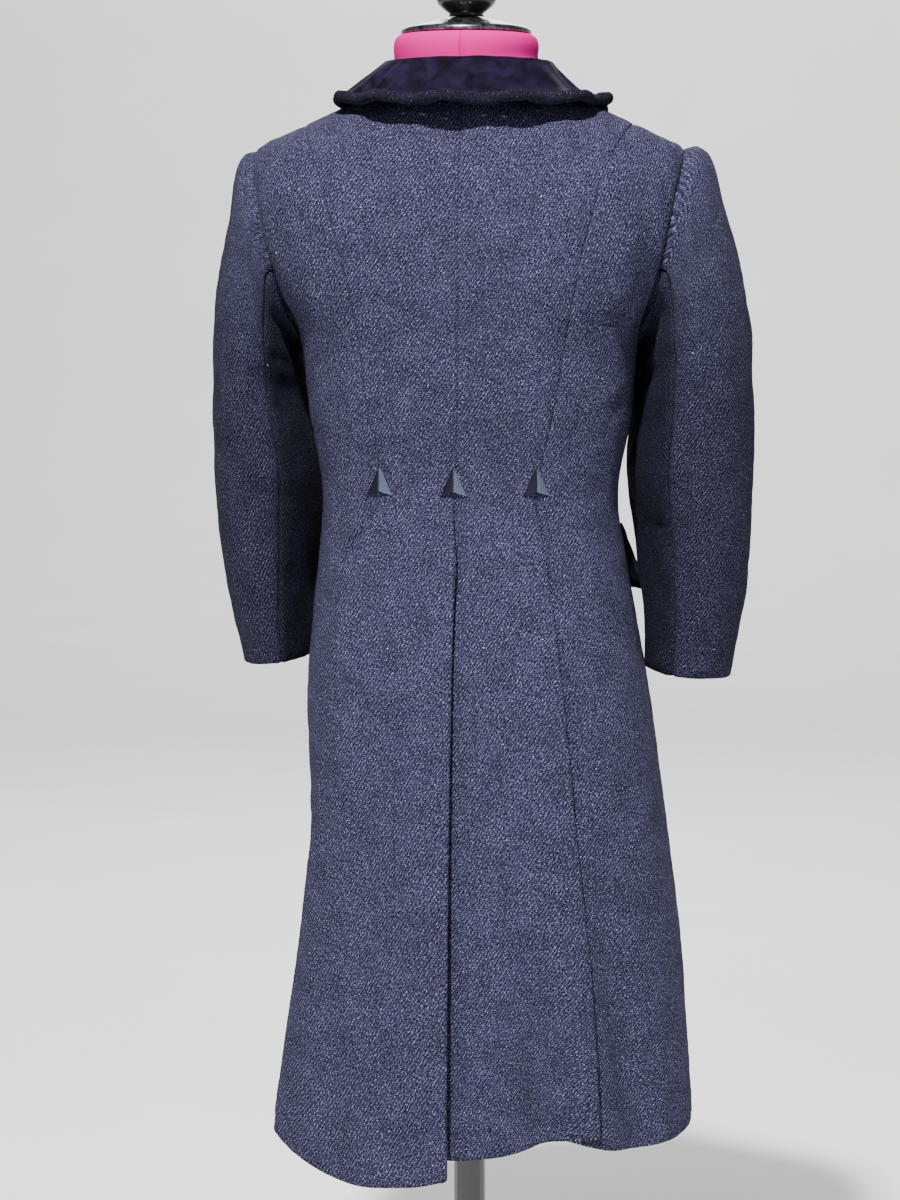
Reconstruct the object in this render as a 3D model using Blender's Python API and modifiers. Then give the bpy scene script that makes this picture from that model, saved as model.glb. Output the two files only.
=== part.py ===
"""A child's wool coat, cut as a maker would cut it, on a limbless dress form with a round base.

Metres and +Z up in the scene; the tables and lengths below are in millimetres. The coat's front
faces -Y and its back +Y. The wearer's left is +X. The origin is on the floor, at the middle of
the base's flat underside. The cloth is built as walls on one splined surface: a position runs
down from the neckline (0) to the hem, and an angle runs round from the centre back (0 degrees)
past the wearer's left side (90) to the centre front (180), and is negative on the right.
"""

import math
from collections import namedtuple

import bmesh
import bpy
from mathutils import Vector

MM = 0.001

# Cloth
WALL = 2.4
VELVET_WALL = 3.0
FLAP_WALL = 2.6
SEAM_GAP = 0.3
LAP_GAP = 0.7

# Heights of the whole
FORM_BOTTOM_Z = 645.0
NECK_TOP_Z = 1128.0
NECK_SHIFT = Vector((3.0, 0.0, 0.0))
BASE_HEIGHT = 24.0
BASE_RADIUS = 150.0
POLE_RADIUS = 12.5
WAIST_Z = 788.0
HEM_Z = 295.0

RingRow = namedtuple("RingRow", "name left right side_z back back_z front front_z square")

# The coat's outer surface: half widths, heights and squareness of each ring
TORSO = (
    RingRow("neckline", 66, 66, 1089, 61, 1085, 68, 1044, 2.1),
    RingRow("collar edge", 94, 94, 1075, 79, 1066, 80, 1026, 2.1),
    RingRow("princess top", 122, 122, 1062, 91, 1038, 90, 1000, 2.15),
    RingRow("shoulder point", 160, 160, 1043, 98, 1006, 96, 972, 2.3),
    RingRow("armhole high", 162, 162, 1014, 101, 978, 99, 950, 2.9),
    RingRow("armhole middle", 156, 156, 980, 101, 954, 100, 932, 3.2),
    RingRow("armhole low", 143, 143, 943, 99, 928, 100, 916, 3.1),
    RingRow("underarm", 127, 127, 904, 95, 902, 99, 900, 2.7),
    RingRow("ribs", 121, 123, 850, 88, 850, 97, 850, 2.5),
    RingRow("waist", 112, 112.5, 788, 78, 788, 91, 788, 2.4),
    RingRow("high hip", 115, 118, 737, 86, 737, 97, 737, 2.35),
    RingRow("pocket", 119, 125, 700, 94, 700, 102, 700, 2.3),
    RingRow("hip", 124, 138, 627, 107, 627, 110, 627, 2.3),
    RingRow("thigh", 122, 152, 525, 122, 525, 119, 525, 2.25),
    RingRow("above knee", 126, 161, 450, 130, 450, 125, 450, 2.2),
    RingRow("knee", 135, 165, 379, 136, 379, 130, 379, 2.2),
    RingRow("hem", 149, 169, 295, 141, 295, 134, 295, 2.2),
)
POSITION = {row.name: index for index, row in enumerate(TORSO)}
PRINCESS_TOP = POSITION["princess top"]
SHOULDER_POINT = POSITION["shoulder point"]
UNDERARM = POSITION["underarm"]
WAIST = POSITION["waist"]
HEM = POSITION["hem"]

# How far from the centre each princess seam runs, by torso row
SeamRow = namedtuple("SeamRow", "row back_left back_right front")
PRINCESS = (
    SeamRow("princess top", 122, 122, 122),
    SeamRow("shoulder point", 107, 106, 104),
    SeamRow("armhole high", 97, 97, 94),
    SeamRow("armhole middle", 88, 89, 88),
    SeamRow("armhole low", 81, 83, 84),
    SeamRow("underarm", 76, 77, 80),
    SeamRow("ribs", 70, 68, 74),
    SeamRow("waist", 61, 55, 66),
    SeamRow("high hip", 83, 59, 76),
    SeamRow("pocket", 87, 64, 82),
    SeamRow("hip", 95, 73, 90),
    SeamRow("thigh", 106, 83, 98),
    SeamRow("above knee", 113, 91, 103),
    SeamRow("knee", 120, 96, 107),
    SeamRow("hem", 128, 101, 112),
)

# The armhole: where its points lie from the shoulder point (0) to the underarm (1)
ARMHOLE_STEPS = (0.0, 0.06, 0.17, 0.33, 0.5, 0.67, 0.83, 0.94, 1.0)
ARMHOLE_BULGE = 20.0
BODICE_STEPS = (7.5, 8.0, 8.4, 8.7, 9.0)
NECK_STEPS = (0.0, 0.5, 1.0, 1.5)
CENTRE_STEPS = (0.0, 0.45, 0.9, 1.35, 1.8, 2.3, 2.85, 3.4, 4.05, 4.75, 5.5, 6.2, 7.0)
BACK_SHARES = (0.0, 0.12, 0.27, 0.42, 0.57, 0.72, 0.86, 1.0)
MIDDLE_SHARE = 0.42

# How far the centre back seam lies towards the wearer's left, by torso row
CENTRE_LINE = (0, 0.3, 0.7, 1, 1, 1, 1.2, 1.6, 2.5, 5.5, 8, 9.5, 10, 10, 10, 9.8, 9.6)

SIDE_BACK_SHARES = (0.0, 0.25, 0.4, 0.5, 0.75, 1.0)
FRONT_SEAM_SHARES = (0.0, 0.35, 0.7)
SKIRT_DROPS = (8, 18, 34, 60, 100, 150, 205, 260, 315, 370, 430, WAIST_Z - HEM_Z)

# Soft folds of the skirt: where each starts, and its angle, width and depth at the hem
Fold = namedtuple("Fold", "name top_z top_angle hem_angle width depth")
FOLDS = (
    Fold("left back lobe", 560, 22, 25, 17, 11),
    Fold("left side lobe", 600, 66, 62, 16, 4),
    Fold("right centre lobe", 520, -8, -10, 9, 4),
    Fold("right hem hollow", 470, -24, -30, 8, -15),
    Fold("right side hollow", 640, -42, -57, 8, -9),
    Fold("right side lobe", 560, -78, -80, 12, 5),
    Fold("left front lobe", 600, 118, 122, 13, 7),
    Fold("left front hollow", 560, 142, 144, 9, -7),
    Fold("right front lobe", 600, -116, -120, 13, 7),
    Fold("right front hollow", 540, -140, -145, 9, -8),
)

# Where each panel's hem lies: height at its edge nearer the centre, at its side, and bow between
HEMS = {
    "back_left": (295, 308, -16),
    "side_back_left": (307, 318, -3),
    "side_front_left": (302, 318, -6),
    "front_left": (301, 302, -2),
    "back_right": (303, 320, -1),
    "side_back_right": (315, 313, -12),
    "side_front_right": (300, 313, -5),
    "front_right": (298, 300, -2),
}

# A pleat opens below the waist: lap and lift of the upper edge, reach of the one under it
Pleat = namedtuple("Pleat", "lap lift_top lift_hem under sink")
CENTRE_PLEAT = Pleat(4.0, 5.5, 15.0, 26.0, 3.4)
PRINCESS_PLEAT = Pleat(3.0, 4.5, 9.0, 15.0, 3.4)
FOLD_EDGE_WALL = 4.6
FRONT_LAP = 17.0
FRONT_SINK = WALL + 1.6

# An underlying edge is sunk up to here past the seam, and level with the rest from there on
SUNK_EDGE = 3.5
RISEN_EDGE = 13.0

# The sleeve: outer and inner edge, middle, depth and its share of the armhole's own shape
SleeveRow = namedtuple("SleeveRow", "name outer outer_z inner inner_z middle depth armhole")
SLEEVES = {
    "left": (
        SleeveRow("armhole", 160, 1043, 127, 904, 0, 110, 1.0),
        SleeveRow("head", 170, 1040, 129, 902, 0, 112, 0.85),
        SleeveRow("crown", 176.5, 1026, 131, 899, 0, 114, 0.62),
        SleeveRow("deltoid", 180.5, 997, 132, 894, 0, 114, 0.36),
        SleeveRow("upper", 189, 962, 131, 886, -1, 113, 0.14),
        SleeveRow("biceps", 195, 915, 128, 872, -3, 112, 0.0),
        SleeveRow("upper arm", 197, 860, 123, 848, -6, 110, 0.0),
        SleeveRow("elbow", 197.5, 805, 114.5, 800, -10, 107, 0.0),
        SleeveRow("forearm", 195, 750, 117.5, 745, -18, 103, 0.0),
        SleeveRow("wrist", 188, 700, 123.5, 698, -26, 100, 0.0),
        SleeveRow("cuff", 179, 653, 126, 657, -31, 98, 0.0),
    ),
    "right": (
        SleeveRow("armhole", 160, 1043, 127, 904, 0, 110, 1.0),
        SleeveRow("head", 171.5, 1045, 129, 902, 0, 112, 0.85),
        SleeveRow("crown", 181.5, 1034, 131, 899, 0, 113, 0.62),
        SleeveRow("deltoid", 190, 1003, 131.5, 894, 1, 112, 0.36),
        SleeveRow("upper", 202, 962, 130, 886, 2, 110, 0.14),
        SleeveRow("biceps", 211, 914, 127, 872, 3, 108, 0.0),
        SleeveRow("upper arm", 214.5, 856, 124.6, 848, 4, 105, 0.0),
        SleeveRow("elbow", 214.5, 805, 119.5, 800, 4, 100, 0.0),
        SleeveRow("forearm", 213, 752, 124, 748, 1, 94, 0.0),
        SleeveRow("wrist", 208.5, 700, 131.5, 700, -3, 90, 0.0),
        SleeveRow("cuff", 199, 648, 133.5, 653, -7, 88, 0.0),
    ),
}
SLEEVE_STEPS = (0, 0.5, 1, 1.5, 2, 3, 4, 5, 5.6, 6.2, 7, 7.6, 8.2, 9, 9.5, 10)
BACK_SEAM_STEP = 5
FRONT_SEAM_STEP = 6

# Dents and creases pressed into the sleeves: row, loop angle, their spans and depth
Dent = namedtuple("Dent", "row angle span turn depth")
SLEEVE_DENTS = {
    "left": (Dent(5.6, 120, 0.45, 34, -5.0), Dent(7.6, 95, 0.5, 30, -3.0)),
    "right": (Dent(5.0, 128, 0.4, 30, -4.0), Dent(7.9, 130, 0.3, 40, -5.0)),
}

# The collar's velvet face: up the stand, over the roll and down the fall
COLLAR = (
    RingRow("foot", 62.8, 62.4, 1090.4, 57.8, 1086.4, 64.8, 1045.8, 2.1),
    RingRow("stand", 60.8, 60.0, 1099, 57.5, 1096, 64, 1054, 2.1),
    RingRow("inner roll", 59.4, 58.0, 1105, 57.8, 1104, 64.5, 1060, 2.1),
    RingRow("roll", 62.6, 61.2, 1108.4, 61.5, 1108.4, 68.5, 1063.5, 2.1),
    RingRow("outer roll", 68.0, 64.5, 1105.4, 67, 1105.4, 74.5, 1060, 2.1),
    RingRow("upper fall", 76.5, 72, 1097, 75, 1096.5, 84, 1049, 2.1),
    RingRow("lower fall", 85, 80.5, 1088.5, 81, 1088, 92.5, 1037, 2.1),
    RingRow("edge", 91.5, 94, 1082.6, 86, 1080, 99, 1025, 2.1),
)
COLLAR_RIGHT_DROP = (0, 0, 0, 0, 1.0, 3.0, 3.6, 2.0)
COLLAR_WAVE_SHARE = (0, 0, 0, 0, 0, 0.3, 0.65, 1.0)
COLLAR_FRONT_GAP = (3.0, 3.0, 3.2, 3.5, 4.0, 6.0, 9.0, 14.0)
COLLAR_COLUMNS = 60
COLLAR_WAVES = 12
COLLAR_WAVE_HEIGHT = 3.4
COLLAR_WAVE_PHASE = 5.5

# The welt round the collar's edge, with its small puckers
WELT_RADIUS = 3.7
WELT_SEGMENTS = 108
WELT_PUCKERS = 36
WELT_PUCKER_HEIGHT = 0.55
TUBE_SIDES = 6

# Pocket flaps: angles at the rear and front end, heights, and how far the corners stand out
Flap = namedtuple("Flap", "rear front top_z bottom_z rear_out front_out")
FLAPS = {
    "left": Flap(112, 143, 763, 713, 5.0, 5.0),
    "right": Flap(-108, -142, 763, 712, 11.5, 5.0),
}
FLAP_WELT_RADIUS = 3.0
FLAP_WELT_OFFSET = 3.5

# Arrowhead tacks at the heads of the three pleats
ARROW_HALF_WIDTH = 10.5
ARROW_BASE_Z = 790.5
ARROW_TIP_Z = 808.0
ARROW_HEIGHT = 1.7
ARROW_GAP = 0.6

# Buttons down the centre front
BUTTON_HEIGHTS = (1012, 950, 888, 826, 764)
BUTTON_RADIUS = 10.5
BUTTON_THICKNESS = 4.2
BUTTON_SHANK = 3.0

# The dress form: how far it lies inside the coat's outer surface, by torso position
FormRow = namedtuple("FormRow", "position ease")
FORM_ROWS = (
    FormRow(0.3, 3.9),
    FormRow(1.0, 3.2),
    FormRow(1.5, 3.2),
    FormRow(2.0, 3.3),
    FormRow(2.5, 4.2),
    FormRow(3.0, 6.0),
    FormRow(3.5, 7.5),
    FormRow(4.2, 9.0),
    FormRow(5.0, 9.5),
    FormRow(6.0, 10.0),
    FormRow(7.0, 10.0),
    FormRow(8.0, 10.0),
    FormRow(9.0, 9.5),
    FormRow(9.6, 11.0),
    FormRow(10.4, 13.5),
    FormRow(11.2, 17.0),
)
FORM_COLUMNS = 28
SHOULDER_EASE = 5.0
SHOULDER_EASE_WIDTH = 8.0
NECK_RINGS = ((NECK_TOP_Z, 50.0), (1125.0, 53.2), (1119.0, 54.5), (1109.0, 54.0))

# Inside the collar the neck follows it: collar row, distance inside it and height below it
NECK_INSIDE = ((1, 3.0, 0.0), (0, 2.4, 3.5))

Finish = namedtuple("Finish", "colour roughness metallic")
FINISHES = {
    "wool": Finish((0.055, 0.060, 0.125), 0.92, 0.0),
    "velvet": Finish((0.013, 0.009, 0.035), 0.75, 0.0),
    "tack_thread": Finish((0.075, 0.085, 0.150), 0.55, 0.0),
    "button": Finish((0.012, 0.012, 0.022), 0.40, 0.0),
    "form_jersey": Finish((0.780, 0.030, 0.240), 0.85, 0.0),
    "dark_metal": Finish((0.030, 0.030, 0.034), 0.30, 0.9),
    "stand_black": Finish((0.012, 0.012, 0.013), 0.35, 0.0),
}


def clear_scene():
    """Remove whatever the open file holds."""
    for thing in list(bpy.data.objects):
        bpy.data.objects.remove(thing, do_unlink=True)


def new_collection(name):
    """The collection that holds the object's parts."""
    collection = bpy.data.collections.new(name)
    bpy.context.scene.collection.children.link(collection)
    return collection


def finish_material(node, finish_name):
    """Each node has its own material, with the colour of its finish."""
    finish = FINISHES[finish_name]
    material = bpy.data.materials.new(node + "_" + finish_name)
    material.use_nodes = True
    shader = material.node_tree.nodes["Principled BSDF"]
    shader.inputs["Base Color"].default_value = (*finish.colour, 1.0)
    shader.inputs["Roughness"].default_value = finish.roughness
    shader.inputs["Metallic"].default_value = finish.metallic
    return material


# Curves and steps


def smooth_step(value):
    """0 below 0, 1 above 1 and a smooth rise between."""
    value = min(max(value, 0.0), 1.0)
    return value * value * (3.0 - 2.0 * value)


def bell(distance, width):
    """A bump of height 1 whose sides fall away over the width."""
    return math.exp(-((distance / width) ** 2))


def spline(values, position):
    """A smooth curve through evenly spaced values."""
    last = len(values) - 1
    position = min(max(position, 0.0), float(last))
    start = min(int(position), last - 1)
    part = position - start
    here = values[start]
    after = values[start + 1]
    before = values[start - 1] if start > 0 else 2 * here - after
    beyond = values[start + 2] if start + 2 <= last else 2 * after - here
    leave = (after - before) / 2
    arrive = (beyond - here) / 2
    square = part * part
    cube = square * part
    return (
        here * (2 * cube - 3 * square + 1)
        + leave * (cube - 2 * square + part)
        + after * (3 * square - 2 * cube)
        + arrive * (cube - square)
    )


def row_at(table, position):
    """The splined ring row at a position between the table's rows."""
    numbers = [
        spline([getattr(row, field) for row in table], position)
        for field in RingRow._fields[1:]
    ]
    return RingRow("", *numbers)


def ring_point(row, angle):
    """A point of a ring: a squared ellipse with its own back, front and sides."""
    turn = math.radians(angle)
    side, back = math.sin(turn), math.cos(turn)
    half_x = row.left if side >= 0 else row.right
    half_y = row.back if back >= 0 else row.front
    power = row.square
    reach = ((abs(side) / half_x) ** power + (abs(back) / half_y) ** power) ** (-1 / power)
    end_z = row.back_z if back >= 0 else row.front_z
    height = end_z + (row.side_z - end_z) * side * side
    return Vector((reach * side, reach * back, height))


# The coat's surface


def fold_depth(height, angle):
    """How far the skirt's soft folds move the cloth out at a height and angle."""
    total = 0.0
    for fold in FOLDS:
        along = (fold.top_z - height) / (fold.top_z - HEM_Z)
        if along <= 0:
            continue
        centre = fold.top_angle + (fold.hem_angle - fold.top_angle) * along
        away = (angle - centre + 180) % 360 - 180
        total += fold.depth * smooth_step(along) * bell(away, fold.width)
    return total


def coat_point(position, angle):
    """A point of the coat's outer surface, with its soft folds."""
    row = row_at(TORSO, position)
    point = ring_point(row, angle)
    depth = fold_depth(row.side_z, angle)
    outward = Vector((point.x, point.y, 0)).normalized()
    return point + outward * depth


def coat_normal(position, angle):
    """The outward direction of the coat's surface."""
    step = 0.05
    turn = 0.5
    low = min(position + step, HEM)
    high = max(position - step, 0.0)
    down = coat_point(low, angle) - coat_point(high, angle)
    around = coat_point(position, angle + turn) - coat_point(position, angle - turn)
    normal = around.cross(down)
    point = coat_point(position, angle)
    if normal.dot(Vector((point.x, point.y, 20.0))) < 0:
        normal.negate()
    return normal.normalized()


def angle_at(position, distance, front=False):
    """The angle where the coat's surface lies at a signed distance from the centre plane."""
    row = row_at(TORSO, position)
    sign = 1 if distance >= 0 else -1
    low, high = 0.0, 90.0
    for _ in range(40):
        middle = (low + high) / 2
        turn = 180 - middle if front else middle
        if abs(ring_point(row, sign * turn).x) < abs(distance):
            low = middle
        else:
            high = middle
    turn = 180 - low if front else low
    return sign * turn


def position_at_height(height):
    """The skirt position whose ring lies at a height."""
    low, high = float(UNDERARM), float(HEM)
    for _ in range(40):
        middle = (low + high) / 2
        if row_at(TORSO, middle).side_z > height:
            low = middle
        else:
            high = middle
    return (low + high) / 2


SKIRT_STEPS = tuple(position_at_height(WAIST_Z - drop) for drop in SKIRT_DROPS[:-1]) + (float(HEM),)
LOWER_STEPS = BODICE_STEPS + SKIRT_STEPS


def princess_angle(position, side, front):
    """The angle of a princess seam at a position."""
    if position <= PRINCESS_TOP + 1e-6:
        return side * 90.0
    column = "front" if front else ("back_left" if side > 0 else "back_right")
    distances = [getattr(row, column) for row in PRINCESS]
    distance = spline(distances, position - PRINCESS_TOP)
    return angle_at(position, side * distance, front)


def seam_position(step):
    """Where a princess seam is level with an armhole step, closer together near its top."""
    return PRINCESS_TOP + (UNDERARM - PRINCESS_TOP) * step ** 1.5


def armhole_angle(step, side, front):
    """The angle of the armhole's edge, from the shoulder point (0) to the underarm (1)."""
    bulge = ARMHOLE_BULGE * math.sqrt(max(math.sin(math.pi * step), 0.0))
    return side * (90 + bulge if front else 90 - bulge)


def waist_drop(position):
    """How far below the waist a position lies, as a height."""
    return max(WAIST_Z - row_at(TORSO, position).side_z, 0.0)


def pleat_open(position, pleat):
    """Lap, lift and reach under of a pleat at a position; all 0 at the waist."""
    drop = waist_drop(position)
    length = WAIST_Z - HEM_Z
    lap = pleat.lap * smooth_step((drop - 14) / 40)
    lift = pleat.lift_top * smooth_step(drop / 16)
    lift += (pleat.lift_hem - pleat.lift_top) * smooth_step((drop - 20) / (length - 20))
    under = pleat.under * smooth_step((drop - 15) / 90)
    sink = pleat.sink * smooth_step(drop / 15)
    return lap, lift, under, sink


# Walls


def add_object(node, vertices, faces, finish_name, collection, sharp_degrees=42):
    """A mesh object from points in millimetres, closed, with its faces pointing out."""
    mesh = bpy.data.meshes.new(node)
    mesh.from_pydata([vertex * MM for vertex in vertices], [], faces)
    cleaner = bmesh.new()
    cleaner.from_mesh(mesh)
    bmesh.ops.recalc_face_normals(cleaner, faces=cleaner.faces)
    cleaner.to_mesh(mesh)
    cleaner.free()
    mesh.shade_smooth()
    mesh.set_sharp_from_angle(angle=math.radians(sharp_degrees))
    mesh.materials.append(finish_material(node, finish_name))
    thing = bpy.data.objects.new(node, mesh)
    collection.objects.link(thing)
    return thing


def push_edge(outer, inner, edge, distance):
    """Move one edge of a wall back from its seam, within the surface."""
    rows, columns = len(outer), len(outer[0])
    if edge in ("start", "end"):
        column, beside = (0, 1) if edge == "start" else (columns - 1, columns - 2)
        line = [(row, column, row, beside) for row in range(rows)]
    else:
        row, beside = (0, 1) if edge == "top" else (rows - 1, rows - 2)
        line = [(row, column, beside, column) for column in range(columns)]
    points = [outer[row][column].copy() for row, column, _, _ in line]
    for index, (row, column, near_row, near_column) in enumerate(line):
        ahead = points[min(index + 1, len(points) - 1)]
        behind = points[max(index - 1, 0)]
        tangent = (ahead - behind).normalized()
        inward = outer[near_row][near_column] - points[index]
        inward -= tangent * inward.dot(tangent)
        shift = inward.normalized() * distance
        outer[row][column] = outer[row][column] + shift
        inner[row][column] = inner[row][column] + shift


def wall_faces(rows, columns):
    """Faces of a wall: the outer grid, the inner grid and the edges between them."""
    count = rows * columns
    faces = []
    for row in range(rows - 1):
        for column in range(columns - 1):
            a = row * columns + column
            quad = (a, a + 1, a + columns + 1, a + columns)
            faces.append(quad)
            faces.append(tuple(count + corner for corner in reversed(quad)))
    for column in range(columns - 1):
        for row in (0, rows - 1):
            a = row * columns + column
            faces.append((a, a + 1, count + a + 1, count + a))
    for row in range(rows - 1):
        for column in (0, columns - 1):
            a = row * columns + column
            faces.append((a, a + columns, count + a + columns, count + a))
    return faces


def add_wall(node, outer, inner, finish_name, collection):
    """A closed wall from an outer and an inner grid of points."""
    vertices = [point for row in outer for point in row] + [point for row in inner for point in row]
    faces = wall_faces(len(outer), len(outer[0]))
    return add_object(node, vertices, faces, finish_name, collection)


def fractions_at(start, end, near, far):
    """Column places between two edges of a row, with columns at given distances from the centre."""
    position, start_angle = start
    span = end[1] - start_angle
    near_shares = [(angle_at(position, x) - start_angle) / span for x in near]
    far_shares = [(angle_at(position, x) - start_angle) / span for x in far]
    middle = (near_shares[-1] + (far_shares[0] if far_shares else 1.0)) / 2
    return [0.0] + near_shares + [middle] + far_shares + [1.0]


def panel_walls(start_edge, end_edge, fractions, hems, lift=None):
    """Grids of a panel between two edges, each a list of positions and angles, row by row."""
    outer, inner = [], []
    rows = zip(start_edge, end_edge, fractions)
    for (start_position, start_angle), (end_position, end_angle), shares in rows:
        outer_row, inner_row = [], []
        for fraction in shares:
            position = start_position + (end_position - start_position) * fraction
            angle = start_angle + (end_angle - start_angle) * fraction
            point = coat_point(position, angle)
            normal = coat_normal(position, angle)
            out, wall = lift(position, angle) if lift else (0.0, WALL)
            hem = hems[0] + (hems[1] - hems[0]) * fraction + hems[2] * math.sin(math.pi * fraction)
            fall = smooth_step((450 - row_at(TORSO, position).side_z) / (450 - HEM_Z))
            point = point + normal * out + Vector((0, 0, (hem - HEM_Z) * fall))
            outer_row.append(point)
            inner_row.append(point - normal * wall)
        outer.append(outer_row)
        inner.append(inner_row)
    return outer, inner


def over_edge(seam_x, pleat, sign):
    """Lift and wall of an upper pleat edge; sign says on which side of the seam the panel is."""

    def lift(position, angle):
        _, height, _, _ = pleat_open(position, pleat)
        away = sign * (coat_point(position, angle).x - seam_x(position))
        share = 1 - smooth_step((away - 4) / 42)
        fold = smooth_step(waist_drop(position) / 30) * (1 - smooth_step((away + 3) / 6))
        return height * share, WALL + (FOLD_EDGE_WALL - WALL) * fold

    return lift


def under_edge(seam_x, pleat, sign):
    """How far a panel sinks as it runs under a pleat's upper edge."""

    def lift(position, angle):
        _, _, _, sink = pleat_open(position, pleat)
        away = sign * (coat_point(position, angle).x - seam_x(position))
        return -sink * (1 - smooth_step((away - SUNK_EDGE) / (RISEN_EDGE - SUNK_EDGE))), WALL

    return lift


def princess_x(side):
    """The back princess seam's signed distance from the centre plane, by position."""
    column = "back_left" if side > 0 else "back_right"
    distances = [getattr(row, column) for row in PRINCESS]

    def distance(position):
        return side * spline(distances, position - PRINCESS_TOP)

    return distance


def centre_x(position):
    """How far the centre back seam lies towards the wearer's left, by position."""
    return spline(CENTRE_LINE, position)


# The pieces of the body

SEAM_STEPS = NECK_STEPS + tuple(seam_position(step) for step in ARMHOLE_STEPS)


def back_panel(side, collection):
    """Centre back panel: the left one laps over the right one at the centre pleat."""
    name = "back_left" if side > 0 else "back_right"
    seam_x = princess_x(side)
    start, end = [], []
    for position in CENTRE_STEPS + LOWER_STEPS:
        lap, _, under, _ = pleat_open(position, CENTRE_PLEAT)
        reach = -lap if side > 0 else under
        start.append((position, angle_at(position, centre_x(position) + reach)))
    for position in SEAM_STEPS + LOWER_STEPS:
        princess = princess_angle(position, side, False)
        lap = pleat_open(position, PRINCESS_PLEAT)[0]
        if lap:
            princess = angle_at(position, seam_x(position) + side * lap)
        end.append((position, princess))
    princess_lift = over_edge(seam_x, PRINCESS_PLEAT, -side)
    if side > 0:
        centre_lift = over_edge(centre_x, CENTRE_PLEAT, 1)
    else:
        centre_lift = under_edge(centre_x, CENTRE_PLEAT, -1)

    def lift(position, angle):
        if position <= WAIST:
            return 0.0, WALL
        centre_out, centre_wall = centre_lift(position, angle)
        side_out, side_wall = princess_lift(position, angle)
        return centre_out + side_out, max(centre_wall, side_wall)

    fractions = []
    for first, last in zip(start, end):
        blend = smooth_step((first[0] - UNDERARM) / (WAIST - UNDERARM))
        if not blend:
            fractions.append(BACK_SHARES)
            continue
        centre, seam = centre_x(first[0]), seam_x(first[0])
        near = (centre + side * SUNK_EDGE, centre + side * RISEN_EDGE, MIDDLE_SHARE * seam)
        far = (seam - side * RISEN_EDGE, seam - side * SUNK_EDGE)
        marked = fractions_at(first, last, near, far)
        fractions.append([even + (mark - even) * blend for even, mark in zip(BACK_SHARES, marked)])
    outer, inner = panel_walls(start, end, fractions, HEMS[name], lift)
    push_edge(outer, inner, "start", SEAM_GAP / 2)
    push_edge(outer, inner, "end", SEAM_GAP / 2)
    add_wall(name, outer, inner, "wool", collection)


def side_edges(side, front):
    """Edges of a side panel: its princess seam, then its armhole and side seam."""
    seam, outside = [], []
    for step in ARMHOLE_STEPS:
        position = seam_position(step)
        arm_position = SHOULDER_POINT + (UNDERARM - SHOULDER_POINT) * step
        seam.append((position, princess_angle(position, side, front)))
        outside.append((arm_position, armhole_angle(step, side, front)))
    for position in LOWER_STEPS:
        seam.append((position, princess_angle(position, side, front)))
        outside.append((position, side * 90.0))
    return seam, outside


def side_back_panel(side, collection):
    """Side back panel, which runs under the centre panel's pleat below the waist."""
    name = "side_back_left" if side > 0 else "side_back_right"
    seam, outside = side_edges(side, False)
    seam_x = princess_x(side)
    for index, (position, angle) in enumerate(seam):
        under = pleat_open(position, PRINCESS_PLEAT)[2]
        if under:
            seam[index] = (position, angle_at(position, seam_x(position) - side * under))
    sink = under_edge(seam_x, PRINCESS_PLEAT, side)

    def lift(position, angle):
        return sink(position, angle) if position > WAIST else (0.0, WALL)

    fractions = []
    for first, last in zip(seam, outside):
        if first[0] < WAIST:
            fractions.append(SIDE_BACK_SHARES)
        else:
            edge = abs(seam_x(first[0]))
            marks = [side * (edge + SUNK_EDGE), side * (edge + RISEN_EDGE)]
            shares = fractions_at(first, last, marks, [])
            fractions.append(shares[:3] + [shares[2] + (1 - shares[2]) * f for f in (0.3, 0.65)] + [1.0])
    outer, inner = panel_walls(seam, outside, fractions, HEMS[name], lift)
    for edge in ("start", "end", "top"):
        push_edge(outer, inner, edge, SEAM_GAP / 2)
    add_wall(name, outer, inner, "wool", collection)


def side_front_panel(side, collection):
    """Side front panel, from the shoulder seam to the hem."""
    name = "side_front_left" if side > 0 else "side_front_right"
    seam, outside = side_edges(side, True)
    fractions = [(0, 0.25, 0.5, 0.75, 1)] * len(seam)
    fractions[0] = SIDE_BACK_SHARES[:2] + SIDE_BACK_SHARES[3:]
    outer, inner = panel_walls(seam, outside, fractions, HEMS[name])
    for edge in ("start", "end", "top"):
        push_edge(outer, inner, edge, SEAM_GAP / 2)
    add_wall(name, outer, inner, "wool", collection)


def front_panel(side, collection):
    """Front panel; the right front laps over the left one down the centre."""
    name = "front_left" if side > 0 else "front_right"
    start = [(step, princess_angle(step, side, True)) for step in SEAM_STEPS + LOWER_STEPS]
    centre = []
    for position in CENTRE_STEPS + LOWER_STEPS:
        turn = 180 - abs(angle_at(position, FRONT_LAP, True))
        centre.append((position, side * (180 + turn)))

    def lift(position, angle):
        if side < 0:
            return 0.0, WALL
        away = coat_point(position, angle).x - FRONT_LAP
        return -FRONT_SINK * (1 - smooth_step((away - SUNK_EDGE) / (RISEN_EDGE - SUNK_EDGE))), WALL

    fractions = []
    for first, last in zip(start, centre):
        marks = (FRONT_LAP + RISEN_EDGE, FRONT_LAP + SUNK_EDGE, 0.0)
        turns = [side * abs(angle_at(last[0], x, True)) for x in marks]
        shares = [(turn - first[1]) / (last[1] - first[1]) for turn in turns]
        fractions.append([shares[0] * share for share in FRONT_SEAM_SHARES] + shares + [1.0])
    centre_hem, seam_hem, bow = HEMS[name]
    outer, inner = panel_walls(start, centre, fractions, (seam_hem, centre_hem, bow), lift)
    push_edge(outer, inner, "start", SEAM_GAP / 2)
    add_wall(name, outer, inner, "wool", collection)


# The sleeves


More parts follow.
